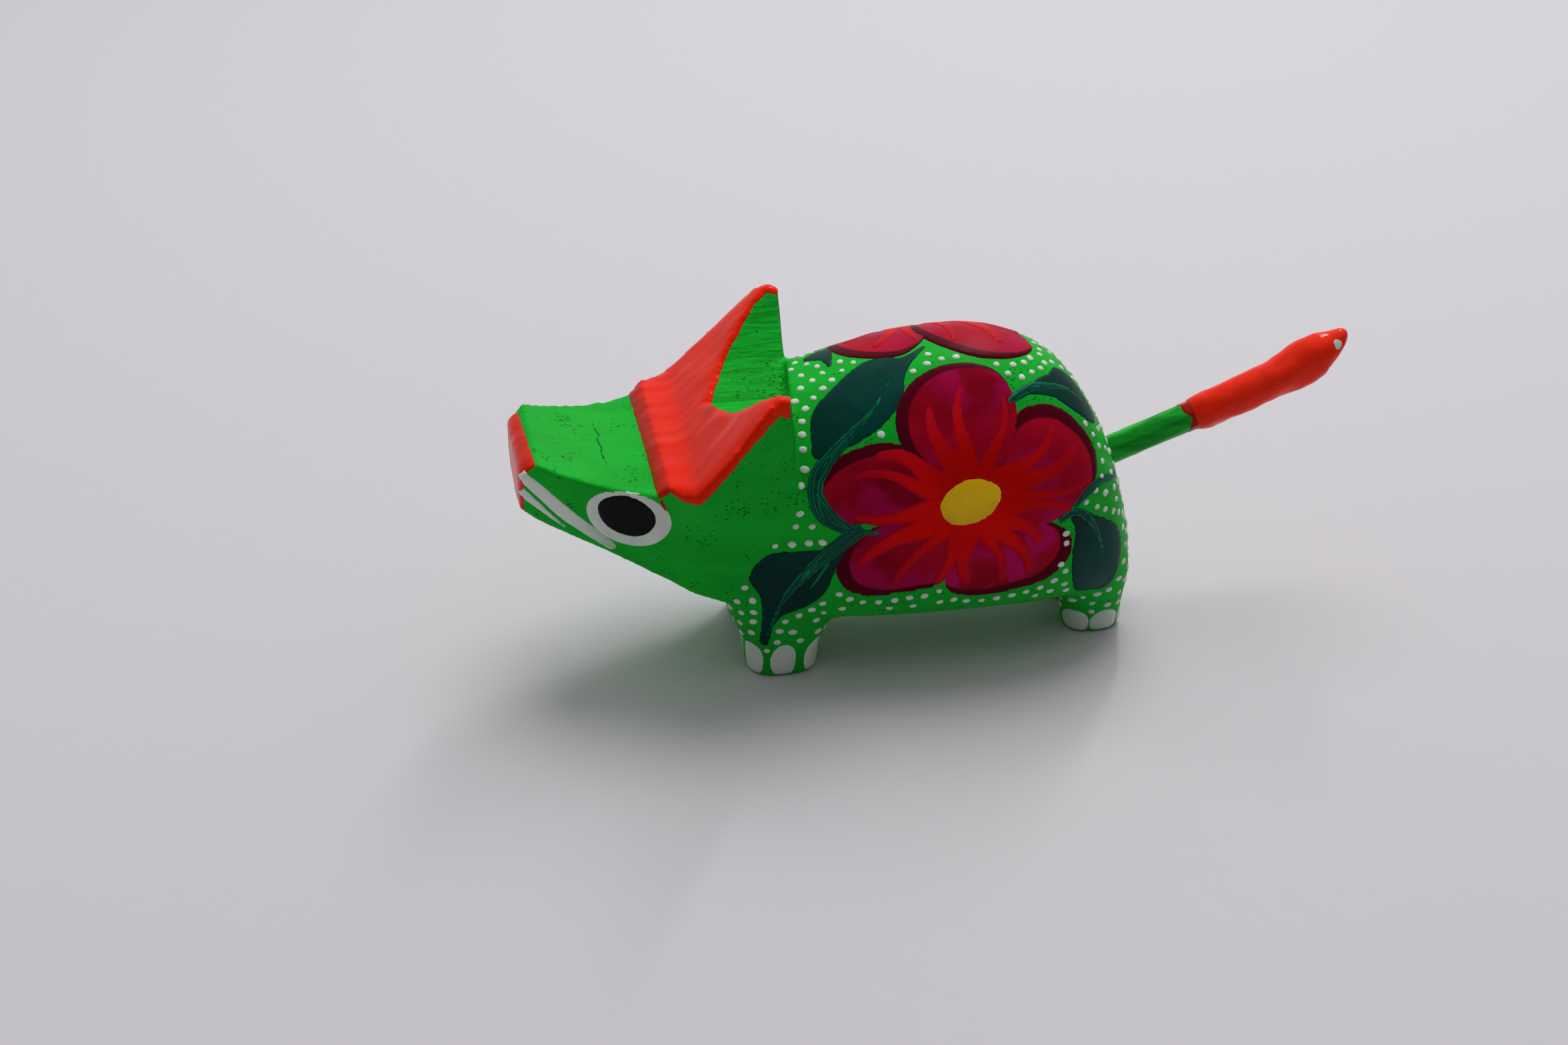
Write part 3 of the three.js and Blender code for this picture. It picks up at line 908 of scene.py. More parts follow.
def sawn_mask(points, normals):
    """1 on the walls between the ears and on the back of the head, where the saw's marks show."""
    inward = -normals[:, 0] * np.sign(points[:, 0])
    between = ease((points[:, 2] - NOTCH_FLOOR) / 0.4) * ease((inward - 0.12) / 0.2)
    between *= ease((points[:, 1] - NOTCH_FRONT_Y) / 2)
    back = ease((normals[:, 1] - 0.75) / 0.15) * ease((points[:, 2] - BACK_OF_HEAD_LOW) / 2)
    head = ease((0.6 - behind_head(points)) / 0.3)
    return np.maximum(between, back) * head


def knife_waves(points):
    """Broad shallow waves with finer ones on them."""
    return np.array([noise.noise(Vector(point) * 0.22) + 0.4 * noise.noise(Vector(point) * 0.6)
                     for point in points])


def carve_body(settings):
    """Softens the block, first the whole of it a little and then the torso and the legs, and adds the knife's
    waves. The soles stay flat on the table."""
    points, faces = fine_copy(frame["nodes"]["carved_body"], settings.grain / MM)
    edges = edges_of(faces)
    weight = sanding_weight(points)
    points = relax(points, edges, 0.5 * ease(points[:, 2] / 0.4), settings.head_sanding)
    points = relax(points, edges, 0.5 * weight, settings.sanding)
    normals = point_normals(points, faces)
    above_table = ease((points[:, 2] - 0.3) / 1.0)
    points += normals * (knife_waves(points) * settings.waviness / MM * above_table)[:, None]
    skin = Skin().add(points, faces, sawn=sawn_mask(points, normals))
    make_piece(BODY_NAME, skin, green_paint(), replaced=["carved_body"])


# ---- Thick red coats on the head ----


def clip(points, normals, faces, field):
    """The part of a surface where field is above zero, cut along a smooth line."""
    kept, kept_normals, numbers, triangles = [], [], {}, []

    def corner(a, b):
        """The new number of point a, or of the place between a and b where field is zero."""
        a, b = min(a, b), max(a, b)
        if (a, b) not in numbers:
            numbers[a, b] = len(kept)
            share = 0 if a == b else field[a] / (field[a] - field[b])
            kept.append(points[a] + (points[b] - points[a]) * share)
            kept_normals.append(normals[a] + (normals[b] - normals[a]) * share)
        return numbers[a, b]

    above = field > 0
    for face in faces:
        if not any(above[index] for index in face):
            continue
        for a, b, c in ((face[0], face[index], face[index + 1]) for index in range(1, len(face) - 1)):
            loop = []
            for start, end in ((a, b), (b, c), (c, a)):
                if above[start]:
                    loop.append(corner(start, start))
                if above[start] != above[end]:
                    loop.append(corner(start, end))
            triangles += [(loop[0], loop[index], loop[index + 1]) for index in range(1, len(loop) - 1)]
    return np.array(kept), np.array(kept_normals), triangles


def film(points, normals, triangles, thickness, rim):
    """A closed coat over a cut surface, as smooth as thick paint settles. It thins out to nothing at its rim,
    and elsewhere keeps enough thickness to hide the wood."""
    border = tree_of([points[start] for start, _ in border_of(triangles)])
    inset = np.array([border.find(point)[2] for point in points])
    edges = edges_of(triangles)
    normals = relax(normals, edges, np.full(len(points), 0.5), 14)
    normals /= np.maximum(np.linalg.norm(normals, axis=1), 1e-9)[:, None]
    tops = points + normals * (thickness * ease(inset / rim) ** 0.7 - SINK)[:, None]
    tops = relax(tops, edges, 0.5 * ease(inset / rim), 10)
    height = ((tops - points) * normals).sum(1)
    least = 0.7 * thickness * ease(inset / rim) - SINK
    tops += normals * np.maximum(least - height, 0)[:, None]
    return close_sheet(tops, points - normals * BURY, triangles)


# The head's outline over brow, crest and ears, from the side: how far back, and how high.
HEAD_PROFILE = (
    (-33.0, 24.7), (-31.9, 24.7), (-30.9, 25.8), (-29.6, 25.5), (-27.8, 25.8), (-23.6, 30.0), (-19.6, 34.5),
    (-18.4, 35.2), (-17.2, 34.8),
)
CREST_FRONT_Y = -32.15
CREST_STRIP_Y = -30.75      # the coat is thin in front of this
# How far back, and how far below the outline the red laps over the cheek.
CHEEK_LAP = ((-32.2, 0.15), (-31.0, 0.5), (-29.4, 1.0), (-26, 1.15), (-22, 1.0), (-19.5, 1.3), (-17.5, 2.0))
INNER_LAP = 0.22
BACK_LAP = 0.35
EAR_NOTCH = (2.1, -25.0, 28.7)
NOSE_FRONT_Y = -45.1
COAT_RIM = 0.45             # how far from its edge a red coat has its full thickness
HEAD_END_Y = -14            # no red coat reaches further back or lower than these
HEAD_LOW = 17


def crest_field(points, normals):
    """Above zero where the crest and the ears' front faces are red."""
    back = square_y(points)
    stations, heights = zip(*HEAD_PROFILE)
    steps = np.arange(-33, -17, 0.5)
    slope = np.interp(back, steps, np.gradient(np.interp(steps, stations, heights), 0.5))
    depth = (np.interp(back, stations, heights) - points[:, 2]) / np.sqrt(1 + slope ** 2)
    outward = ease((normals[:, 0] * np.sign(points[:, 0]) - 0.2) / 0.3)
    lap_stations, laps = zip(*CHEEK_LAP)
    uneven = np.array([noise.noise(Vector(point) * 0.8) for point in points])
    lap = INNER_LAP + outward * (np.interp(back, lap_stations, laps) - INNER_LAP) + 0.12 * uneven
    behind = ease((normals[:, 1] - 0.6) / 0.2)
    lap = lap * (1 - behind) + BACK_LAP * behind
    return np.minimum(lap - depth, back - CREST_FRONT_Y - 0.1 * uneven)


def nose_field(points, normals):
    """Above zero on the snout's flat front and on the sawn corner over it."""
    back = square_y(points)
    uneven = np.array([noise.noise(Vector(point) * 1.3) for point in points])
    upward = ease((normals[:, 2] - 0.25) / 0.3)
    limit = NOSE_FRONT_Y + upward * (0.95 + 0.04 * points[:, 0]) + 0.12 * uneven
    return limit - back


def crest_thinness_and_notch_shade(points, back):
    """The coat is thin in a strip along the crest's front edge. In the notch between the ears the same darker
    red is painted shade in the hollow.
    """
    strip = 0.9 * ease((CREST_STRIP_Y - back) / 0.25)
    # The darkening round the notch is painted shade in the hollow between the ears.
    from_notch = np.linalg.norm(points - EAR_NOTCH, axis=1)
    return np.maximum(strip, ease((1.6 - from_notch) / 1.0))


def nose_thinness(_, back):
    """The coat is thinner on the sawn corner than on the snout's front."""
    return 0.6 * ease((back - NOSE_FRONT_Y + 0.1) / 0.25)


def brush_ridges(points):
    """Ridges that the brush left in the thick red as it was drawn up the slope."""
    up_slope = points[:, 1] * 0.7 + points[:, 2] * 0.7
    return np.array([noise.noise(Vector((x * 1.1, slope * 0.13, 0)))
                     + 0.5 * noise.noise(Vector((x * 2.6, slope * 0.2, 5)))
                     for x, slope in zip(points[:, 0], up_slope)])


def coat_head(paints):
    """Cuts the red areas out of the wood's surface and thickens them to coats."""
    points, faces, _ = wood_surface()
    head = [face for face in faces if points[face[0], 1] < HEAD_END_Y and points[face[0], 2] > HEAD_LOW]
    normals = point_normals(points, faces)
    for name, field_of, thinness_of, node in (
        ("crest_coat", crest_field, crest_thinness_and_notch_shade, "crest_and_ear_coat"),
        ("nose_tip_coat", nose_field, nose_thinness, "nose_coat"),
    ):
        cut, cut_normals, triangles = clip(points, normals, head, field_of(points, normals))
        thickness = paints.coat / MM * (1 + 0.45 * brush_ridges(cut))
        slab, closed = film(cut, cut_normals, triangles, thickness, COAT_RIM)
        slab = np.array(slab)
        skin = Skin().add(slab, closed, thin=thinness_of(slab, square_y(slab)))
        make_piece(name, skin, red_paint(), replaced=[node])


# ---- Face ----


def box_middle(node):
    """The middle of a CAD node's box."""
    low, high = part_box(node)
    return (low + high) / 2 / MM


def eye_plane(side_name):
    """The plane of an eye, turned up a little so that paint laid on it runs over the cheek's upper edge."""
    side = SIDES[side_name]
    centre = box_middle(f"eye_white_{side_name}")
    return flat_place(centre, Vector((side * 0.80, -0.36, 0.48)))


def paint_face(paints):
    """The eyes, each with a red speck at its corner, and the whiskers."""
    _, _, tree = wood_surface()
    lift = paints.film / MM
    white = oval((0, -0.3), 4.5, 2.85, 0.02, wobble=0.012)
    pupil = oval((-0.15, -0.05), 3.15, 2.15, -0.02, wobble=0.012)
    speck = stroke([(3.65, 1.9), (4.0, 0.9)], [0.35, 0.45, 0.2], 0.2)
    for side_name, side in SIDES.items():
        plane = eye_plane(side_name)
        for name, outline, height, material, slot_name in (
            ("white", white, FILMS["eye_white"] * lift, white_paint(), "white_paint"),
            ("pupil", pupil, FILMS["eye_pupil"] * lift, black_paint(), "black_paint"),
        ):
            skin = Skin().lay(tree, plane, outline, height, rim=0.3, spacing=0.25)
            make_piece(f"eye_{name}_paint_{side_name}", skin, material,
                       replaced=[f"eye_{name}_{side_name}"])
        skin = Skin().lay(tree, plane, speck, FILMS["speck"] * lift, rim=0.15, spacing=0.2)
        make_piece(f"eye_corner_speck_{side_name}", skin, thin_red())
        paint_whiskers(side_name, side, lift)


# How far back and how high each whisker runs, and how wide it is along its way.
WHISKERS = {
    "upper": (((-45.5, 25.7), (-44.7, 25.0), (-43.0, 23.1), (-40.6, 20.5), (-36.8, 17.1)),
              (1.2, 1.6, 1.8, 1.5, 1.2)),
    "lower": (((-45.5, 23.6), (-44.5, 22.4), (-43.0, 20.8), (-41.2, 19.1)), (1.2, 0.9, 0.6, 0.3)),
}


def snout_place(side):
    """A side view of the snout: across is y and high is z, on a plane that narrows with the snout."""
    def place(y, z):
        half_width = np.interp(y, (-46.6, -45.3, -36.0), (4.6, 6.0, 9.4)) - 0.22 * (24.5 - z)
        return Vector((side * half_width, y, z)), Vector((side * 0.82, -0.52, 0.2)).normalized()
    return place


def paint_whiskers(side_name, side, lift):
    """The whiskers start on the nose's red coat and run down the cheek."""
    _, _, tree = surface_of(BODY_NAME, "nose_tip_coat")
    for level, (path, widths) in WHISKERS.items():
        start, end = path[0][0], path[-1][0]
        outline = stroke(path, widths)
        skin = Skin().lay(tree, snout_place(side), outline, FILMS["whisker"] * lift, spacing=0.25,
                          values=lambda flat, _: {"along": (flat[:, 0] - start) / (end - start)})
        make_piece(f"whisker_{level}_{side_name}", skin, whisker_paint())


# ---- Nails ----

NAIL_SIZES = {"front": (4.3, 1.55), "hind": (2.9, 1.75)}    # height and half the width
NAIL_LEAN = 0.2


def foot_place(centre, angle, radius):
    """A plane bent round a foot: across runs round it from one nail's middle, high is the height."""
    def place(across, high):
        turn = angle + across / radius
        outward = Vector((math.cos(turn), math.sin(turn), 0))
        return Vector((centre.x, centre.y, high)) + outward * radius, outward
    return place


def nail_outline(half_width, height):
    """A nail: straight down to the sole, with a round arch on top that leans a little."""
    shoulder = height * 0.45
    arch = [(half_width * math.cos(turn) + NAIL_LEAN * math.sin(turn),
             shoulder + (height - shoulder) * math.sin(turn))
            for turn in np.linspace(0, math.pi, 9)]
    return ring([(half_width * 0.55, 0.15), (half_width * 0.88, shoulder * 0.4), *arch,
                 (-half_width * 0.88, shoulder * 0.4), (-half_width * 0.55, 0.15)], 0.3)


def paint_nails(paints):
    """Three nails on each foot, the third one narrower."""
    _, _, tree = wood_surface()
    for side_name in SIDES:
        for foot, (height, half_width) in NAIL_SIZES.items():
            centre = foot_centre(side_name, foot)
            for number, narrower in enumerate((1.0, 1.0, 0.85), 1):
                node = f"toenail_{foot}_{side_name}_{number}"
                offset = box_middle(node) - centre
                place = foot_place(centre, math.atan2(offset.y, offset.x), offset.xy.length)
                skin = Skin().lay(tree, place, nail_outline(half_width * narrower, height),
                                  FILMS["nail"] * paints.film / MM, rim=0.5, spacing=0.3)
                make_piece(f"nail_{foot}_{side_name}_{number}", skin, white_paint(),
                           replaced=[node])


def foot_centre(side_name, foot):
    """The middle of a foot's sole, which is flat on the table."""
    side = SIDES[side_name]
    points, _ = read_mesh(frame["nodes"]["carved_body"].data)
    fore = points[:, 1] < 0
    sole = points[(points[:, 2] < 0.05) & (points[:, 0] * side > 0) & (fore if foot == "front" else ~fore)]
    low, high = sole.min(0), sole.max(0)
    return Vector((low + high) / 2)


# ---- Flowers ----
# Outlines and strokes are written from the middle of the flower: along the animal, then around it. After each
# petal's outline comes how far its body is shifted inside its dark rim.

PETALS = {
    "lower_fore": (((-1.0, -2.0), (-2.8, -9.0), (-6.3, -10.1), (-10.3, -10.5), (-13.0, -9.4), (-13.9, -7.2),
                    (-13.2, -4.6), (-10.8, -2.4), (-4.0, 0.0)), (1.3, 0.6)),
    "lower_aft": (((3.0, 0.0), (8.8, -3.4), (11.2, -5.4), (11.3, -8.2), (9.1, -10.3), (6.0, -11.0),
                   (1.2, -11.3), (-1.7, -10.4), (-2.4, -8.6), (-1.5, -3.0)), (-1.2, 0.8)),
    "fore": (((-3.0, 0.5), (-12.2, -1.9), (-14.9, -0.4), (-16.1, 1.9), (-15.5, 4.2), (-13.6, 5.9),
              (-11.0, 6.9), (-7.5, 6.9), (-3.5, 4.5)), (0.4, -1.3)),
    "aft": (((2.5, 2.5), (5.2, 8.3), (8.3, 9.7), (11.0, 9.2), (13.3, 7.0), (14.5, 3.8), (14.0, 0.2),
             (11.4, -2.2), (8.0, -3.8), (3.5, -2.0)), (-0.5, -1.4)),
    "top": (((-2.5, 2.0), (-6.3, 5.6), (-7.2, 8.2), (-6.7, 10.6), (-5.0, 12.7), (-2.2, 14.1), (1.0, 14.4),
             (3.7, 13.6), (5.2, 11.6), (5.6, 9.2), (5.0, 6.0), (2.0, 2.0)), (1.0, -0.3)),
}
# How much magenta each petal has, partly paint and partly painted sheen. The far flower's other petals have
# little.
PETAL_MAGENTA_AND_SHEEN = {"lower_fore": 0.5, "lower_aft": 1.0, "fore": 0.55, "aft": 0.6, "top": 0.45}
FAR_MAGENTA_AND_SHEEN = 0.25
# Direction and length of each flame, and how far it bends aside on its way.
FLAMES = (
    (90, 11.3, 0.9), (110, 10.2, 0.8), (68, 11.1, -0.9), (38, 11.6, -1.2), (23, 12.4, -1.3), (4, 13.4, -0.9),
    (-12, 11.0, 0.6), (149, 10.7, -1.2), (163, 12.2, -1.2), (184, 11.5, 0.7), (210, 12.9, -0.8),
    (230, 11.8, -0.6), (250, 9.4, 0.5), (270, 9.0, -0.7), (291, 10.1, 0.8), (307, 11.0, 0.9), (324, 9.3, 0.8),
)
# A flame's way: how far along it, and how much of its bend it has there. Then its width along it.
FLAME_SWAY = ((0.12, 0), (0.4, 0.25), (0.7, 0.9), (0.88, 0.7), (1.0, 0.1))
FLAME_WIDTHS = (3.6, 3.6, 2.7, 2.0, 1.7, 1.2)
FAR_FLAME = 12.0
# The far flower's petals are the top petal's outline, turned and stretched along and across.
FAR_PETALS = {
    "lower_fore": (152, 0.86, 0.9), "lower_aft": (-148, 0.88, 0.9), "fore": (82, 0.94, 0.92),
    "aft": (-76, 0.96, 0.95), "top_fore": (27, 1.08, 0.86), "top_aft": (-27, 1.24, 0.88),
}


def far_flames():
    """Three flames on each petal of the far flower."""
    return [(90 + turn + aside, FAR_FLAME * stretch * share, bend)
            for turn, stretch, _ in FAR_PETALS.values()
            for aside, share, bend in ((-19, 0.92, 0.8), (0, 1.0, -0.9), (19, 0.9, -0.8))]


def turned(outline, degrees, stretch, widen):
    """The top petal's outline, stretched from the middle and turned about it."""
    angle = math.radians(degrees)
    c, s = math.cos(angle), math.sin(angle)
    return [(x * widen * c - y * stretch * s, x * widen * s + y * stretch * c) for x, y in outline]


def flower_middle(side_name):
    """The flower's middle in the flank's pattern plane, from the yellow centre's own place."""
    middle = box_middle(f"flower_centre_{side_name}")
    around = math.atan2(middle.z - AXIS_HEIGHT, abs(middle.x)) * FLANK_RADIUS
    return Vector((middle.y, around))


def petal_designs(side_name):
    """Each petal's outline, and the shift of its body inside its rim."""
    if side_name == "left":
        return PETALS
    top, shift = PETALS["top"]
    return {name: (turned(top, *change), (shift[0], -0.6)) for name, change in FAR_PETALS.items()}


def lay_petal(tree, place, middle, outline, shift, lift, magenta_and_sheen_amount):
    """A petal. Its value body is above zero inside its dark rim, and its tint, partly magenta paint and
    partly painted sheen, grows towards the tip.
    """
    line = ring([(middle.x + x, middle.y + y) for x, y in outline])
    inner = (line - line.mean(0)) * 0.915 + line.mean(0) + 0.7 * np.array(shift)

    def values(flat, _):
        inward = gap_to_line(flat, inner) * np.where(inside(flat, inner), 1, -1)
        reach = np.linalg.norm(flat - np.array(middle), axis=1)
        return {"body": inward, "tint": ease((reach - 4) / 4) * magenta_and_sheen_amount}

    return Skin().lay(tree, place, line, lift, rim=0.25, values=values)


def paint_flowers(paints):
    """A flower on each flank: petals that overlap, flames over them and a yellow middle."""
    _, _, tree = wood_surface()
    film_height = paints.film / MM
    for side_name, side in SIDES.items():
        middle = flower_middle(side_name)
        place = flank_place(side)
        for order, (petal, (outline, shift)) in enumerate(petal_designs(side_name).items()):
            lift = film_height * (FILMS["petal"] + FILMS["next_petal"] * order)
            skin = lay_petal(tree, place, middle, outline, shift, lift, PETAL_MAGENTA_AND_SHEEN.get(petal, FAR_MAGENTA_AND_SHEEN))
            make_piece(f"petal_{petal}_{side_name}", skin, petal_paint())
        flames = FLAMES if side_name == "left" else far_flames()
        skin = lay_flames(tree, place, middle, flames, film_height * FILMS["flames"])
        make_piece(f"flames_{side_name}", skin, flame_paint())
        button = oval(middle, 3.6, 2.8, math.radians(17), wobble=0.015)
        skin = Skin().lay(tree, place, button, film_height * FILMS["flower_middle"], rim=0.6)
        make_piece(f"flower_middle_{side_name}", skin, yellow_paint(),
                   replaced=[f"flower_centre_{side_name}"])


def lay_flames(tree, place, middle, flames, lift):
    """Wavy strokes from the flower's middle. They run into one another round the middle."""
    heart = np.array(middle)
    skin = Skin()
    for index, (degrees, reach, bend) in enumerate(flames):
        angle = math.radians(degrees)
        outward = Vector((math.cos(angle), math.sin(angle)))
        aside = Vector((-outward.y, outward.x))
        bold = 0.88 + 0.2 * math.sin(index * 2.1)
        path = [middle + outward * (reach * share) + aside * (bend * sway) for share, sway in FLAME_SWAY]
        outline = stroke(path, [width * bold for width in FLAME_WIDTHS], 0.3)

        def values(flat, inset):
            return {"along": np.linalg.norm(flat - heart, axis=1) / reach, "inset": inset}

        skin.lay(tree, place, outline, lift + 0.003 * index, rim=0.3, spacing=0.33, values=values)
    return skin


# ---- Leaves and stems ----
# Flank leaves are written along and around from the side. The shoulder leaf is written in side view.

LEAVES = {
    "shoulder_top": ((-2.2, 20.3), (-5.2, 18.9), (-7.6, 19.6), (-10.2, 19.0), (-13.4, 16.4), (-15.6, 14.0),
                     (-16.2, 10.9), (-15.8, 8.4), (-11.8, 9.5), (-8.2, 11.5), (-6.2, 14.0), (-5.3, 16.6)),
    "rump_top": ((4.2, 12.0), (6.4, 14.0), (9.3, 15.9), (10.9, 18.0), (13.0, 18.2), (14.5, 16.0),
                 (15.2, 13.0), (14.4, 10.8), (12.1, 11.5), (9.6, 12.8), (6.8, 12.9)),
    "haunch": ((10.6, -0.9), (12.2, -0.6), (13.8, -1.8), (15.6, -3.6), (17.0, -6.0), (17.8, -9.2),
               (17.4, -12.2), (15.6, -13.3), (12.8, -12.0), (11.4, -9.0), (11.0, -5.6), (11.2, -3.0)),
    "neck": ((-14.8, 24.0), (-13.2, 22.4), (-12.6, 19.6), (-11.8, 22.4), (-11.4, 25.4), (-13.0, 26.4)),
}
# Each stem's strokes: the path, and the width along it.
STEMS = {
    "shoulder_top": ((((-13.0, -0.2), (-15.6, 2.0), (-16.0, 6.0), (-13.6, 9.4), (-9.5, 13.0), (-6.5, 17.0)),
                      (0.7, 1.6, 1.9, 1.2, 0.5, 0.2)),),
    "rump_top": ((((4.3, 12.2), (8.0, 14.0), (12.4, 14.4), (14.6, 12.6)), (0.8, 1.2, 0.8, 0.2)),),
    "haunch": ((((9.3, -1.2), (11.5, -0.6), (13.6, -3.2), (15.2, -8.2)), (0.9, 1.1, 0.7, 0.2)),
               (((10.9, 0.1), (12.8, 1.8), (15.0, 2.5), (17.0, 1.4)), (0.7, 1.4, 1.3, 0.8)),),
    "fore": ((((-9.6, -0.4), (-12.0, 0.0), (-14.8, 1.8), (-16.0, 4.6)), (0.3, 1.1, 2.0, 1.4)),),
}
SHOULDER_LEAF = ((-12.6, 17.6), (-14.2, 17.0), (-16.4, 17.1), (-20.4, 16.7), (-22.4, 15.4), (-23.0, 13.4),
                 (-21.9, 11.2), (-21.6, 8.0), (-21.6, 4.6), (-20.6, 4.4), (-20.2, 7.0), (-19.2, 8.6),
                 (-17.0, 9.5), (-15.1, 11.6), (-14.1, 14.4))
SHOULDER_VEINS = (
    (((-11.4, 19.3), (-13.6, 17.6), (-17.2, 14.2), (-19.6, 10.4), (-21.0, 5.0)), (1.7, 1.9, 1.2, 0.7, 0.3)),
    (((-14.8, 15.6), (-16.6, 12.6), (-17.8, 11.4)), (0.8, 0.5, 0.2)),
)


# The far flower reaches over the back, so the far flank's leaves sit lower and its fore ones further aft.
FAR_DROP = 3.5
FAR_TOP = 14
FAR_FORE_SHIFT = 3.6


def moved(path, side, top=math.inf):
    """A path of the near flank as it is painted on either flank, cut off at the top on the far one."""
    if side > 0:
        return path
    return [(along + (FAR_FORE_SHIFT if along < 0 else 0), min(around, top) - FAR_DROP)
            for along, around in path]


def lay_leaf(tree, place, corners, lift, name):
    """One leaf. Lift is the thickness of a film."""
    skin = Skin().lay(tree, place, ring(corners), FILMS["leaf"] * lift)
    make_piece(f"leaf_{name}", skin, leaf_paint())


def lay_stem(tree, place, strokes, layer, lift, name):
    """Strokes that lie over one another. Lift is the thickness of a film, and inset makes their streaks."""
    skin = Skin()
    for index, (path, widths) in enumerate(strokes):
        height = (FILMS[layer] + FILMS["next_stroke"] * index) * lift
        skin.lay(tree, place, stroke(path, widths), height, spacing=0.3,
                 values=lambda _, inset: {"inset": inset})
    make_piece(f"stem_{name}", skin, stem_paint())


def paint_leaves(paints):
    """The leaves, and over them the stems."""
    _, _, tree = wood_surface()
    lift = paints.film / MM
    for side_name, side in SIDES.items():
        flank, shoulder = flank_place(side), side_place(side)
        for name, outline in LEAVES.items():
            if side > 0 or name != "neck":
                lay_leaf(tree, flank, moved(outline, side, FAR_TOP), lift, f"{name}_{side_name}")
        for name, strokes in STEMS.items():
            placed = [(moved(path, side), widths) for path, widths in strokes]
            lay_stem(tree, flank, placed, "flank_stem", lift, f"{name}_{side_name}")
        lay_leaf(tree, shoulder, SHOULDER_LEAF, lift, f"shoulder_{side_name}")
        lay_stem(tree, shoulder, SHOULDER_VEINS, "shoulder_stem", lift, f"shoulder_{side_name}")


# ---- White dots ----

MARGIN_DOTS = ((10.2, -2.9), (10.3, -4.1), (9.9, -6.5))    # dots that sit on the dark rim of a petal
DOT_ON_PETAL = 0.05
DOT_SIDES = 10
DOT_PROFILE = ((1.04, -0.35), (1.0, 0.1), (0.82, 0.62), (0.5, 0.92))    # shares of the width and the height
ROW_GAP = 0.75              # from a painted shape's edge to the row of dots that follows it
OPEN_TRIES = 26000          # places tried on the open green
CLEAR_OF_PAINT = 0.5
CLEAR_OF_TAIL = 2.6
FOOT_CLEAR = 0.9            # no dots below this height
SHOULDER_TOP = 21.6         # below this, dots reach forward under the head


def painted_points():
    """The rims and middles of every painted shape that the dots keep clear of."""
    found = []
    for piece in bpy.context.scene.objects:
        if piece.name.startswith(("petal_", "leaf_", "stem_", "nail_")):
            points, _ = read_mesh(piece.data)
            found.append(points[: len(points) // 2])
    return np.concatenate(found)


def dotted_area(spot, normal):
    """True on the torso and the legs, but not on the head, the soles, the belly or round the tail."""
    point = np.array([tuple(spot)])
    behind = behind_head(point)[0]
    shoulder = spot.z < SHOULDER_TOP and spot.y > -18.2 - 0.58 * (SHOULDER_TOP - spot.z)
    on_body = behind > 0.4 or shoulder
    by_tail = spot.y > 10 and math.hypot(spot.x, spot.z - TAIL_ROOT.z) <= CLEAR_OF_TAIL
    return on_body and spot.z > FOOT_CLEAR and normal.z > -0.55 and not by_tail


def dot(skin, spot, normal, radius, height, turn, draw):
    """A drop of paint: an uneven oval dome whose rim lies just inside the surface."""
    level = Vector((-normal.y, normal.x, 0))
    if level.length < 0.1:
        level = Vector((0, 1, 0))
    level.normalize()
    upward = normal.cross(level)
    longer = 1 + 0.28 * draw.random()
    bumps = [1 + draw.uniform(-0.1, 0.1) for _ in range(DOT_SIDES)]
    c, s = math.cos(turn), math.sin(turn)
    points = []
    for share, rise in DOT_PROFILE:
        for side, bump in enumerate(bumps):
            angle = 2 * math.pi * side / DOT_SIDES
            across = math.cos(angle) * radius * share * bump * longer
            high = math.sin(angle) * radius * share * bump
            points.append(spot + level * (across * c - high * s) + upward * (across * s + high * c)
                          + normal * (rise * height))
    points += [spot - normal * (0.5 * height), spot + normal * height]
    skin.add(points, close_rings(len(DOT_PROFILE), DOT_SIDES))


def dot_candidates(points, faces, tree, draw):
    """Places for dots: first rows that follow the painted shapes, then the open green between them."""
    found = []
    for side in SIDES.values():
        for shapes, plane in ((flank_shapes(side), flank_place(side)), ([SHOULDER_LEAF], side_place(side))):
            for outline in shapes:
                line = ring(outline, 0.3)
                heading = np.roll(line, -1, 0) - np.roll(line, 1, 0)
                heading /= np.maximum(np.linalg.norm(heading, axis=1), 1e-9)[:, None]
                sideways = np.stack([heading[:, 1], -heading[:, 0]], 1)
                for sign in (1, -1):
                    found += [touch(tree, *plane(*spot)) for spot in line + sign * ROW_GAP * sideways]
    order = list(range(len(faces)))
    draw.shuffle(order)
    for index in order[:OPEN_TRIES]:
        spot, normal, _, _ = tree.find_nearest(Vector(points[faces[index][0]]))
        found.append((spot, normal))
    return found


def flank_shapes(side):
    """The outlines of a flank that rows of dots follow: its petals and, on the near flank, its leaves."""
    side_name = "left" if side > 0 else "right"
    middle = flower_middle(side_name)
    petals = [[(middle.x + x, middle.y + y) for x, y in outline]
              for outline, _ in petal_designs(side_name).values()]
    return petals + (list(LEAVES.values()) if side > 0 else [])


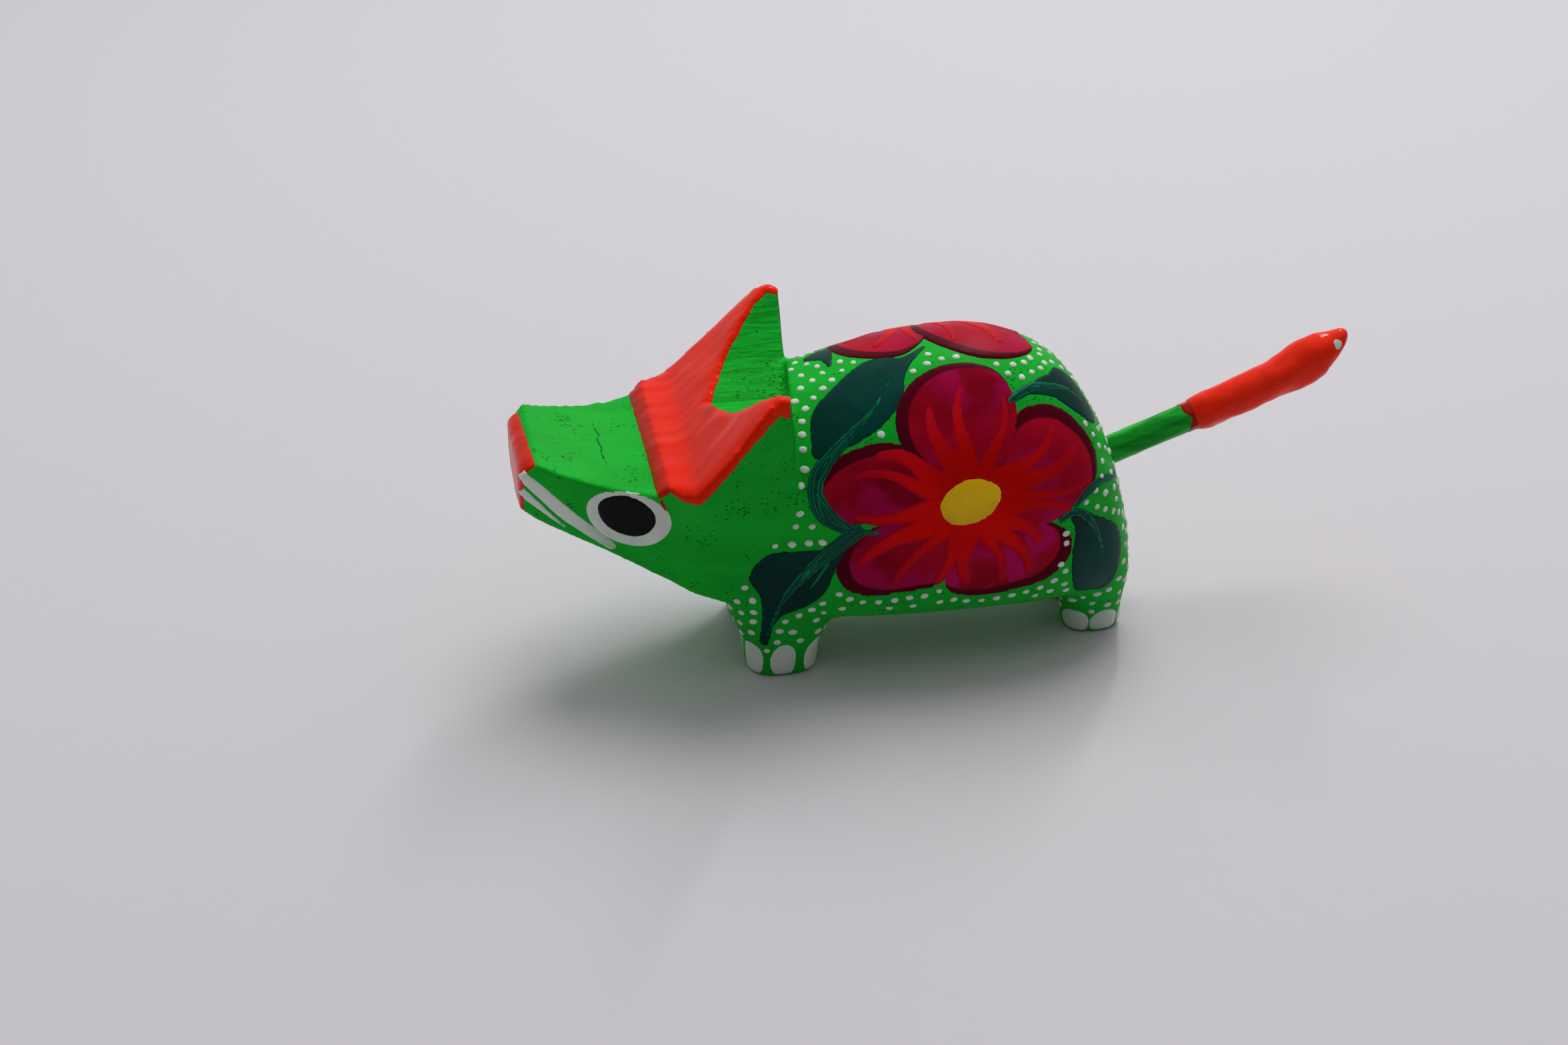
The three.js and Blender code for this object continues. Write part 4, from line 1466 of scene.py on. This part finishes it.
def paint_dots(settings):
    """Dots wherever a place is clear of paint and far enough from the dots that are there already."""
    points, faces, tree = wood_surface()
    draw = random.Random(settings.seed)
    painted = tree_of(painted_points())
    spacing = settings.spacing / MM
    usual_radius = settings.radius / MM
    height = settings.height / MM
    placed = {}
    skins = {name: Skin() for name in SIDES}
    for spot, normal in dot_candidates(points, faces, tree, draw):
        if not dotted_area(spot, normal) or painted.find(spot)[2] < CLEAR_OF_PAINT:
            continue
        cell = tuple(int(value // spacing) for value in spot)
        around = [placed.get((cell[0] + i, cell[1] + j, cell[2] + k), ())
                  for i in (-1, 0, 1) for j in (-1, 0, 1) for k in (-1, 0, 1)]
        wanted = spacing * draw.uniform(1.0, 1.12)
        if any((other - spot).length < wanted for group in around for other in group):
            continue
        placed.setdefault(cell, []).append(spot)
        radius = usual_radius * draw.uniform(0.85, 1.15)
        side_name = "left" if spot.x >= 0 else "right"
        dot(skins[side_name], spot, normal, radius, height, draw.uniform(-0.5, 0.5), draw)
    for side_name, skin in skins.items():
        for margin_spot in MARGIN_DOTS:
            spot, normal = touch(tree, *flank_place(SIDES[side_name])(*margin_spot))
            dot(skin, spot + normal * DOT_ON_PETAL, normal, usual_radius, height, 0.0, draw)
        make_piece(f"dots_{side_name}", skin, white_paint())


# ---- The tail ----


def tail_point(along, across, high):
    """A point of the tail: along the stick from its root, across it, and up from it."""
    high = high + TAIL_BEND * float(ease((along - TAIL_BEND_START) / (TAIL_LENGTH - TAIL_BEND_START)))
    c, s = math.cos(TAIL_PITCH), math.sin(TAIL_PITCH)
    return TAIL_ROOT + Vector((across, along * c - high * s, along * s + high * c))


def tail_tube(levels, sides, radius_at):
    """A closed tube along the tail, whose far end is cut aslant. radius_at gives the radius for a place along
    it and an angle round it."""
    points = []
    for along in levels:
        for side in range(sides):
            angle = 2 * math.pi * side / sides
            radius = radius_at(along, angle)
            high = radius * math.sin(angle)
            share = float(ease((along - TAIL_LENGTH + SLANT_LENGTH) / SLANT_LENGTH))
            slant = 0.9 * share * max(0.0, 1.5 - high)
            points.append(tail_point(along - slant, radius * math.cos(angle), high))
    ends = [tail_point(levels[0], 0, 0), np.mean([tuple(point) for point in points[-sides:]], axis=0)]
    return points + ends, close_rings(len(levels), sides, flip=True)


BAND_SHOWS = 0.75           # how much of the thin red band shows before the dipped coat
ROUNDED = 1.6               # the stretch at the tip where the coat's rings lie closer together
STICK_FACETS = 7
ROUND_TIP = 0.14            # the share of the dipped coat's length that its round tip takes


def whittled_radius(along, angle, radius):
    """The stick's radius: knife facets that wander round it a little, a thinner peg and a slimmer far end."""
    facet = 2 * math.pi / STICK_FACETS
    turned_angle = angle + 0.1 * math.sin(along * 0.35) + 0.3
    share = (turned_angle / facet) % 1 - 0.5
    flat = math.cos(math.pi / STICK_FACETS) / math.cos(share * facet)
    crisp = 0.35 + 0.7 * flat
    peg = 1 - 0.2 * float(ease((0.4 - along) / 1.5))
    slimmer = 1 - 0.22 * float(ease((along - 18) / 10))
    nicks = 0.025 * noise.noise(Vector((along * 0.9, math.cos(angle) * 2, math.sin(angle) * 2)))
    return radius * (crisp * peg * slimmer + nicks)


def coat_radius(along, angle, radius, start):
    """The dipped coat: lumps, a sag under its far half, and a blunt pinched tip."""
    reach = (along - start) / (TAIL_LENGTH - start)

    def swell(middle, width):
        return math.exp(-((reach - middle) / width) ** 2)

    rim = float(ease((along - start) / 1.8)) ** 0.5
    past_tip = max(0.0, reach - (1 - ROUND_TIP)) / ROUND_TIP
    round_tip = math.sqrt(max(0.0, 1 - past_tip ** 2))
    pinch = 1 - 0.2 * float(ease((reach - 0.74) / 0.16))
    lumps = noise.noise(Vector((along * 0.28, math.cos(angle), math.sin(angle) + 3)))
    lumps += 0.4 * noise.noise(Vector((along * 0.8, math.cos(angle) * 1.7, math.sin(angle) * 1.7)))
    under = max(0.0, -math.sin(angle)) ** 2
    sag = under * (0.16 * swell(0.72, 0.16) + 0.1 * swell(0.9, 0.06))
    waist = 1 - 0.06 * swell(0.3, 0.2)
    bulge = 1 + 0.07 * swell(0.68, 0.14)
    body = radius * waist * bulge * pinch * (1 + 0.1 * lumps + sag)
    under_radius = radius * 0.8
    return max(0.05, (under_radius + (body - under_radius) * rim) * (0.12 + 0.88 * round_tip))


def make_tail(settings):
    """The whittled stick, the thin red band at the coat's edge, the dipped coat and a white spot on it that
    is a painted highlight.
    """
    radius = settings.radius / MM
    start = settings.coat_start / MM
    coat_start = start + BAND_SHOWS

    def stick_radius(along, angle):
        return whittled_radius(along, angle, radius)

    def band_radius(along, angle):
        """A hair thicker than the stick from its frayed edge on, and hidden in it before."""
        frayed = start - 0.15 + 0.3 * math.sin(angle * 2 + 1) + 0.15 * math.sin(angle * 5)
        over = float(ease((along - frayed) / 0.2))
        return whittled_radius(along, angle, radius) - 0.06 + 0.13 * over

    def dipped_radius(along, angle):
        return coat_radius(along, angle, settings.coat_radius / MM, coat_start)

    stick_levels = np.arange(PEG_END, start + 0.9, 0.3)
    band_levels = np.arange(start - 1.0, start + 1.1, 0.12)
    rounding = TAIL_LENGTH - ROUNDED * np.cos(np.linspace(0, math.pi / 2, 14))
    coat_levels = np.concatenate([np.arange(coat_start, rounding[0], 0.25), rounding[:-1], [TAIL_LENGTH]])
    for name, levels, sides, radius_at, material, slot_name, replaced in (
        ("whittled_tail", stick_levels, 56, stick_radius, tail_green(), "green_paint", ["tail_stick"]),
        ("tail_thin_red", band_levels, 56, band_radius, thin_red(), "red_paint", []),
        ("tail_dipped_coat", coat_levels, 64, dipped_radius, tail_red(), "red_paint", ["tail_tip_coat"]),
    ):
        skin = Skin().add(*tail_tube(levels, sides, radius_at))
        make_piece(name, skin, material, "tail", replaced)
    # A white spot on the coat near the tip: a painted highlight.
    _, _, tree = surface_of("tail_dipped_coat")
    highlight_spot = Skin().lay(tree, flat_place(tail_point(TAIL_LENGTH - 2.4, 2, 1.0), Vector((1, 0, 0.35))),
                      oval((0, 0), 0.5, 0.62, 0.3, 0.15, 0.08), 0.05, rim=0.15, spacing=0.15)
    make_piece("tail_bare_spot", highlight_spot, white_paint(), "tail")
    smear_glue()


# Each smear's place across and up from the hole, and its half width and half height.
GLUE_SMEARS = ((-1.95, 1.1, 0.75, 0.5), (-2.0, -0.9, 0.4, 0.3), (1.9, 0.7, 0.5, 0.4))


def smear_glue():
    """Pale smears of glue on the rump round the hole."""
    _, _, tree = wood_surface()
    skin = Skin()
    plane = flat_place(TAIL_ROOT, Vector((0.25, 1, 0.2)))
    for number, (across, high, wide, tall) in enumerate(GLUE_SMEARS):
        outline = oval((across, high), wide, tall, 0.5 * number, 0.2, 0.15)
        skin.lay(tree, plane, outline, 0.09, spacing=0.2)
    make_piece("glue_smears", skin, dried_glue())


# ---- Stage ----
# The stage's own measures are in metres.

CAMERA_AIM = Vector((-8.2, -15.6, 9.1)) * MM
LIGHT_AIM = Vector((0, 0, 0.02))
FLOOR_HALF = 1.6
ROOM_DIM = (0.16, 0.16, 0.17)
ROOM_BRIGHT = (0.98, 0.98, 1.0)
BRIGHTEST_WAY = Vector((-0.62, 0.12, 0.77))


def stage_camera(settings):
    """The camera looks at a point near the animal's chest, from its left and above."""
    azimuth, elevation = settings.camera_azimuth, settings.camera_elevation
    level = math.cos(elevation)
    back = Vector((math.sin(azimuth) * level, -math.cos(azimuth) * level, math.sin(elevation)))
    data = bpy.data.cameras.new("camera")
    data.lens = settings.lens
    data.sensor_width = 36
    data.clip_start, data.clip_end = 0.01, 20
    camera = bpy.data.objects.new("camera", data)
    camera.location = CAMERA_AIM + back * settings.camera_distance
    camera.rotation_mode = "QUATERNION"
    camera.rotation_quaternion = (-back).to_track_quat("-Z", "Y")
    bpy.context.scene.collection.objects.link(camera)
    bpy.context.scene.camera = camera


def stage_light(name, place, width, length, power, mirrored):
    """An oval lamp that shines at the animal, and shows in glossy paint only if mirrored is true."""
    data = bpy.data.lights.new(name, "AREA")
    data.shape = "ELLIPSE"
    data.size = width
    data.size_y = length
    data.energy = power
    light = bpy.data.objects.new(name, data)
    light.visible_glossy = mirrored
    light.visible_camera = False
    light.location = place
    light.rotation_euler = (LIGHT_AIM - Vector(place)).to_track_quat("-Z", "Y").to_euler()
    bpy.context.scene.collection.objects.link(light)


def stage_floor():
    """A pale sheet that fills the view."""
    corners = [(FLOOR_HALF * across, FLOOR_HALF * along, 0)
               for across, along in ((-1, -1), (1, -1), (1, 1), (-1, 1))]
    mesh = bpy.data.meshes.new("floor")
    mesh.from_pydata(corners, [], [(0, 1, 2, 3)])
    mesh.materials.append(floor_sheet())
    floor = bpy.data.objects.new("floor", mesh)
    bpy.context.scene.collection.objects.link(floor)


def stage_sky(strength):
    """An even grey room that is brighter overhead and behind the animal than on the camera's side."""
    world = bpy.data.worlds.new("studio")
    world.use_nodes = True
    board = Board(world.node_tree)
    background = world.node_tree.nodes["Background"]
    direction = board.add("ShaderNodeTexCoord").outputs["Generated"]
    towards = board.add("ShaderNodeVectorMath", {"operation": "DOT_PRODUCT"})
    board.put(towards.inputs[0], direction)
    board.put(towards.inputs[1], BRIGHTEST_WAY.normalized())
    share = board.step(towards.outputs["Value"], -0.25, 1.0)
    board.put(background.inputs["Color"], board.mix(share, ROOM_DIM, ROOM_BRIGHT))
    background.inputs["Strength"].default_value = strength
    bpy.context.scene.world = world
    bpy.context.scene.view_settings.view_transform = "Standard"


# ---- Operators ----


class CARVING_OT_stage(bpy.types.Operator):
    """Sets the camera, the soft lights and the pale floor"""
    bl_idname = "carving.stage"
    bl_label = "Set the Stage"

    def execute(self, context):
        settings = context.scene.carving_stage
        stage_camera(settings)
        stage_floor()
        stage_sky(settings.sky)
        stage_light("key", (-0.2, 0.05, 0.62), 0.45, 0.45, settings.key_power, mirrored=False)
        stage_light("glint", (-0.30, 0.14, 0.34), 0.025, 0.2, settings.glint_power, mirrored=True)
        return {"FINISHED"}


class CARVING_OT_body(bpy.types.Operator):
    """Carves the body's fine wooden surface over the plain block"""
    bl_idname = "carving.body"
    bl_label = "Carve the Body"

    def execute(self, context):
        carve_body(context.scene.carving_wood)
        return {"FINISHED"}


class CARVING_OT_head_coats(bpy.types.Operator):
    """Lays the thick red coats on the crest, the ears and the nose"""
    bl_idname = "carving.head_coats"
    bl_label = "Coat the Head"

    def execute(self, context):
        coat_head(context.scene.carving_paint)
        return {"FINISHED"}


class CARVING_OT_face(bpy.types.Operator):
    """Paints the eyes and the whiskers"""
    bl_idname = "carving.face"
    bl_label = "Paint the Face"

    def execute(self, context):
        paint_face(context.scene.carving_paint)
        return {"FINISHED"}


class CARVING_OT_nails(bpy.types.Operator):
    """Paints three nails on each foot"""
    bl_idname = "carving.nails"
    bl_label = "Paint the Nails"

    def execute(self, context):
        paint_nails(context.scene.carving_paint)
        return {"FINISHED"}


class CARVING_OT_flowers(bpy.types.Operator):
    """Paints a flower on each flank"""
    bl_idname = "carving.flowers"
    bl_label = "Paint the Flowers"

    def execute(self, context):
        paint_flowers(context.scene.carving_paint)
        return {"FINISHED"}


class CARVING_OT_leaves(bpy.types.Operator):
    """Paints the leaves and their stems"""
    bl_idname = "carving.leaves"
    bl_label = "Paint the Leaves"

    def execute(self, context):
        paint_leaves(context.scene.carving_paint)
        return {"FINISHED"}


class CARVING_OT_dots(bpy.types.Operator):
    """Fills the green between the flowers with white dots"""
    bl_idname = "carving.dots"
    bl_label = "Paint the Dots"

    def execute(self, context):
        paint_dots(context.scene.carving_dots)
        return {"FINISHED"}


class CARVING_OT_tail(bpy.types.Operator):
    """Whittles the tail and dips its end in red"""
    bl_idname = "carving.tail"
    bl_label = "Make the Tail"

    def execute(self, context):
        make_tail(context.scene.carving_tail)
        return {"FINISHED"}


class CARVING_PT_panel(bpy.types.Panel):
    """Lists the steps of the carving and their settings"""
    bl_idname = "CARVING_PT_panel"
    bl_label = "Carved Animal"
    bl_space_type = "VIEW_3D"
    bl_region_type = "UI"
    bl_category = "Carving"

    def draw(self, context):
        for group_name in SETTINGS:
            group = getattr(context.scene, group_name)
            box = self.layout.box()
            for field in group.__annotations__:
                box.prop(group, field)
        for operator in STEPS:
            self.layout.operator(operator.bl_idname)


SETTINGS = {
    "carving_wood": WoodSettings,
    "carving_paint": PaintSettings,
    "carving_dots": DotSettings,
    "carving_tail": TailSettings,
    "carving_stage": StageSettings,
}
STEPS = (
    CARVING_OT_stage,
    CARVING_OT_body,
    CARVING_OT_head_coats,
    CARVING_OT_face,
    CARVING_OT_nails,
    CARVING_OT_flowers,
    CARVING_OT_leaves,
    CARVING_OT_dots,
    CARVING_OT_tail,
)


def register():
    for cls in (*SETTINGS.values(), *STEPS, CARVING_PT_panel):
        bpy.utils.register_class(cls)
    for name, group in SETTINGS.items():
        setattr(bpy.types.Scene, name, PointerProperty(type=group))


def unregister():
    for name in SETTINGS:
        delattr(bpy.types.Scene, name)
    for cls in reversed((*SETTINGS.values(), *STEPS, CARVING_PT_panel)):
        bpy.utils.unregister_class(cls)


def main():
    register()
    for step in STEPS:
        getattr(bpy.ops.carving, step.bl_idname.split(".")[1])()


if __name__ == "__main__":
    main()
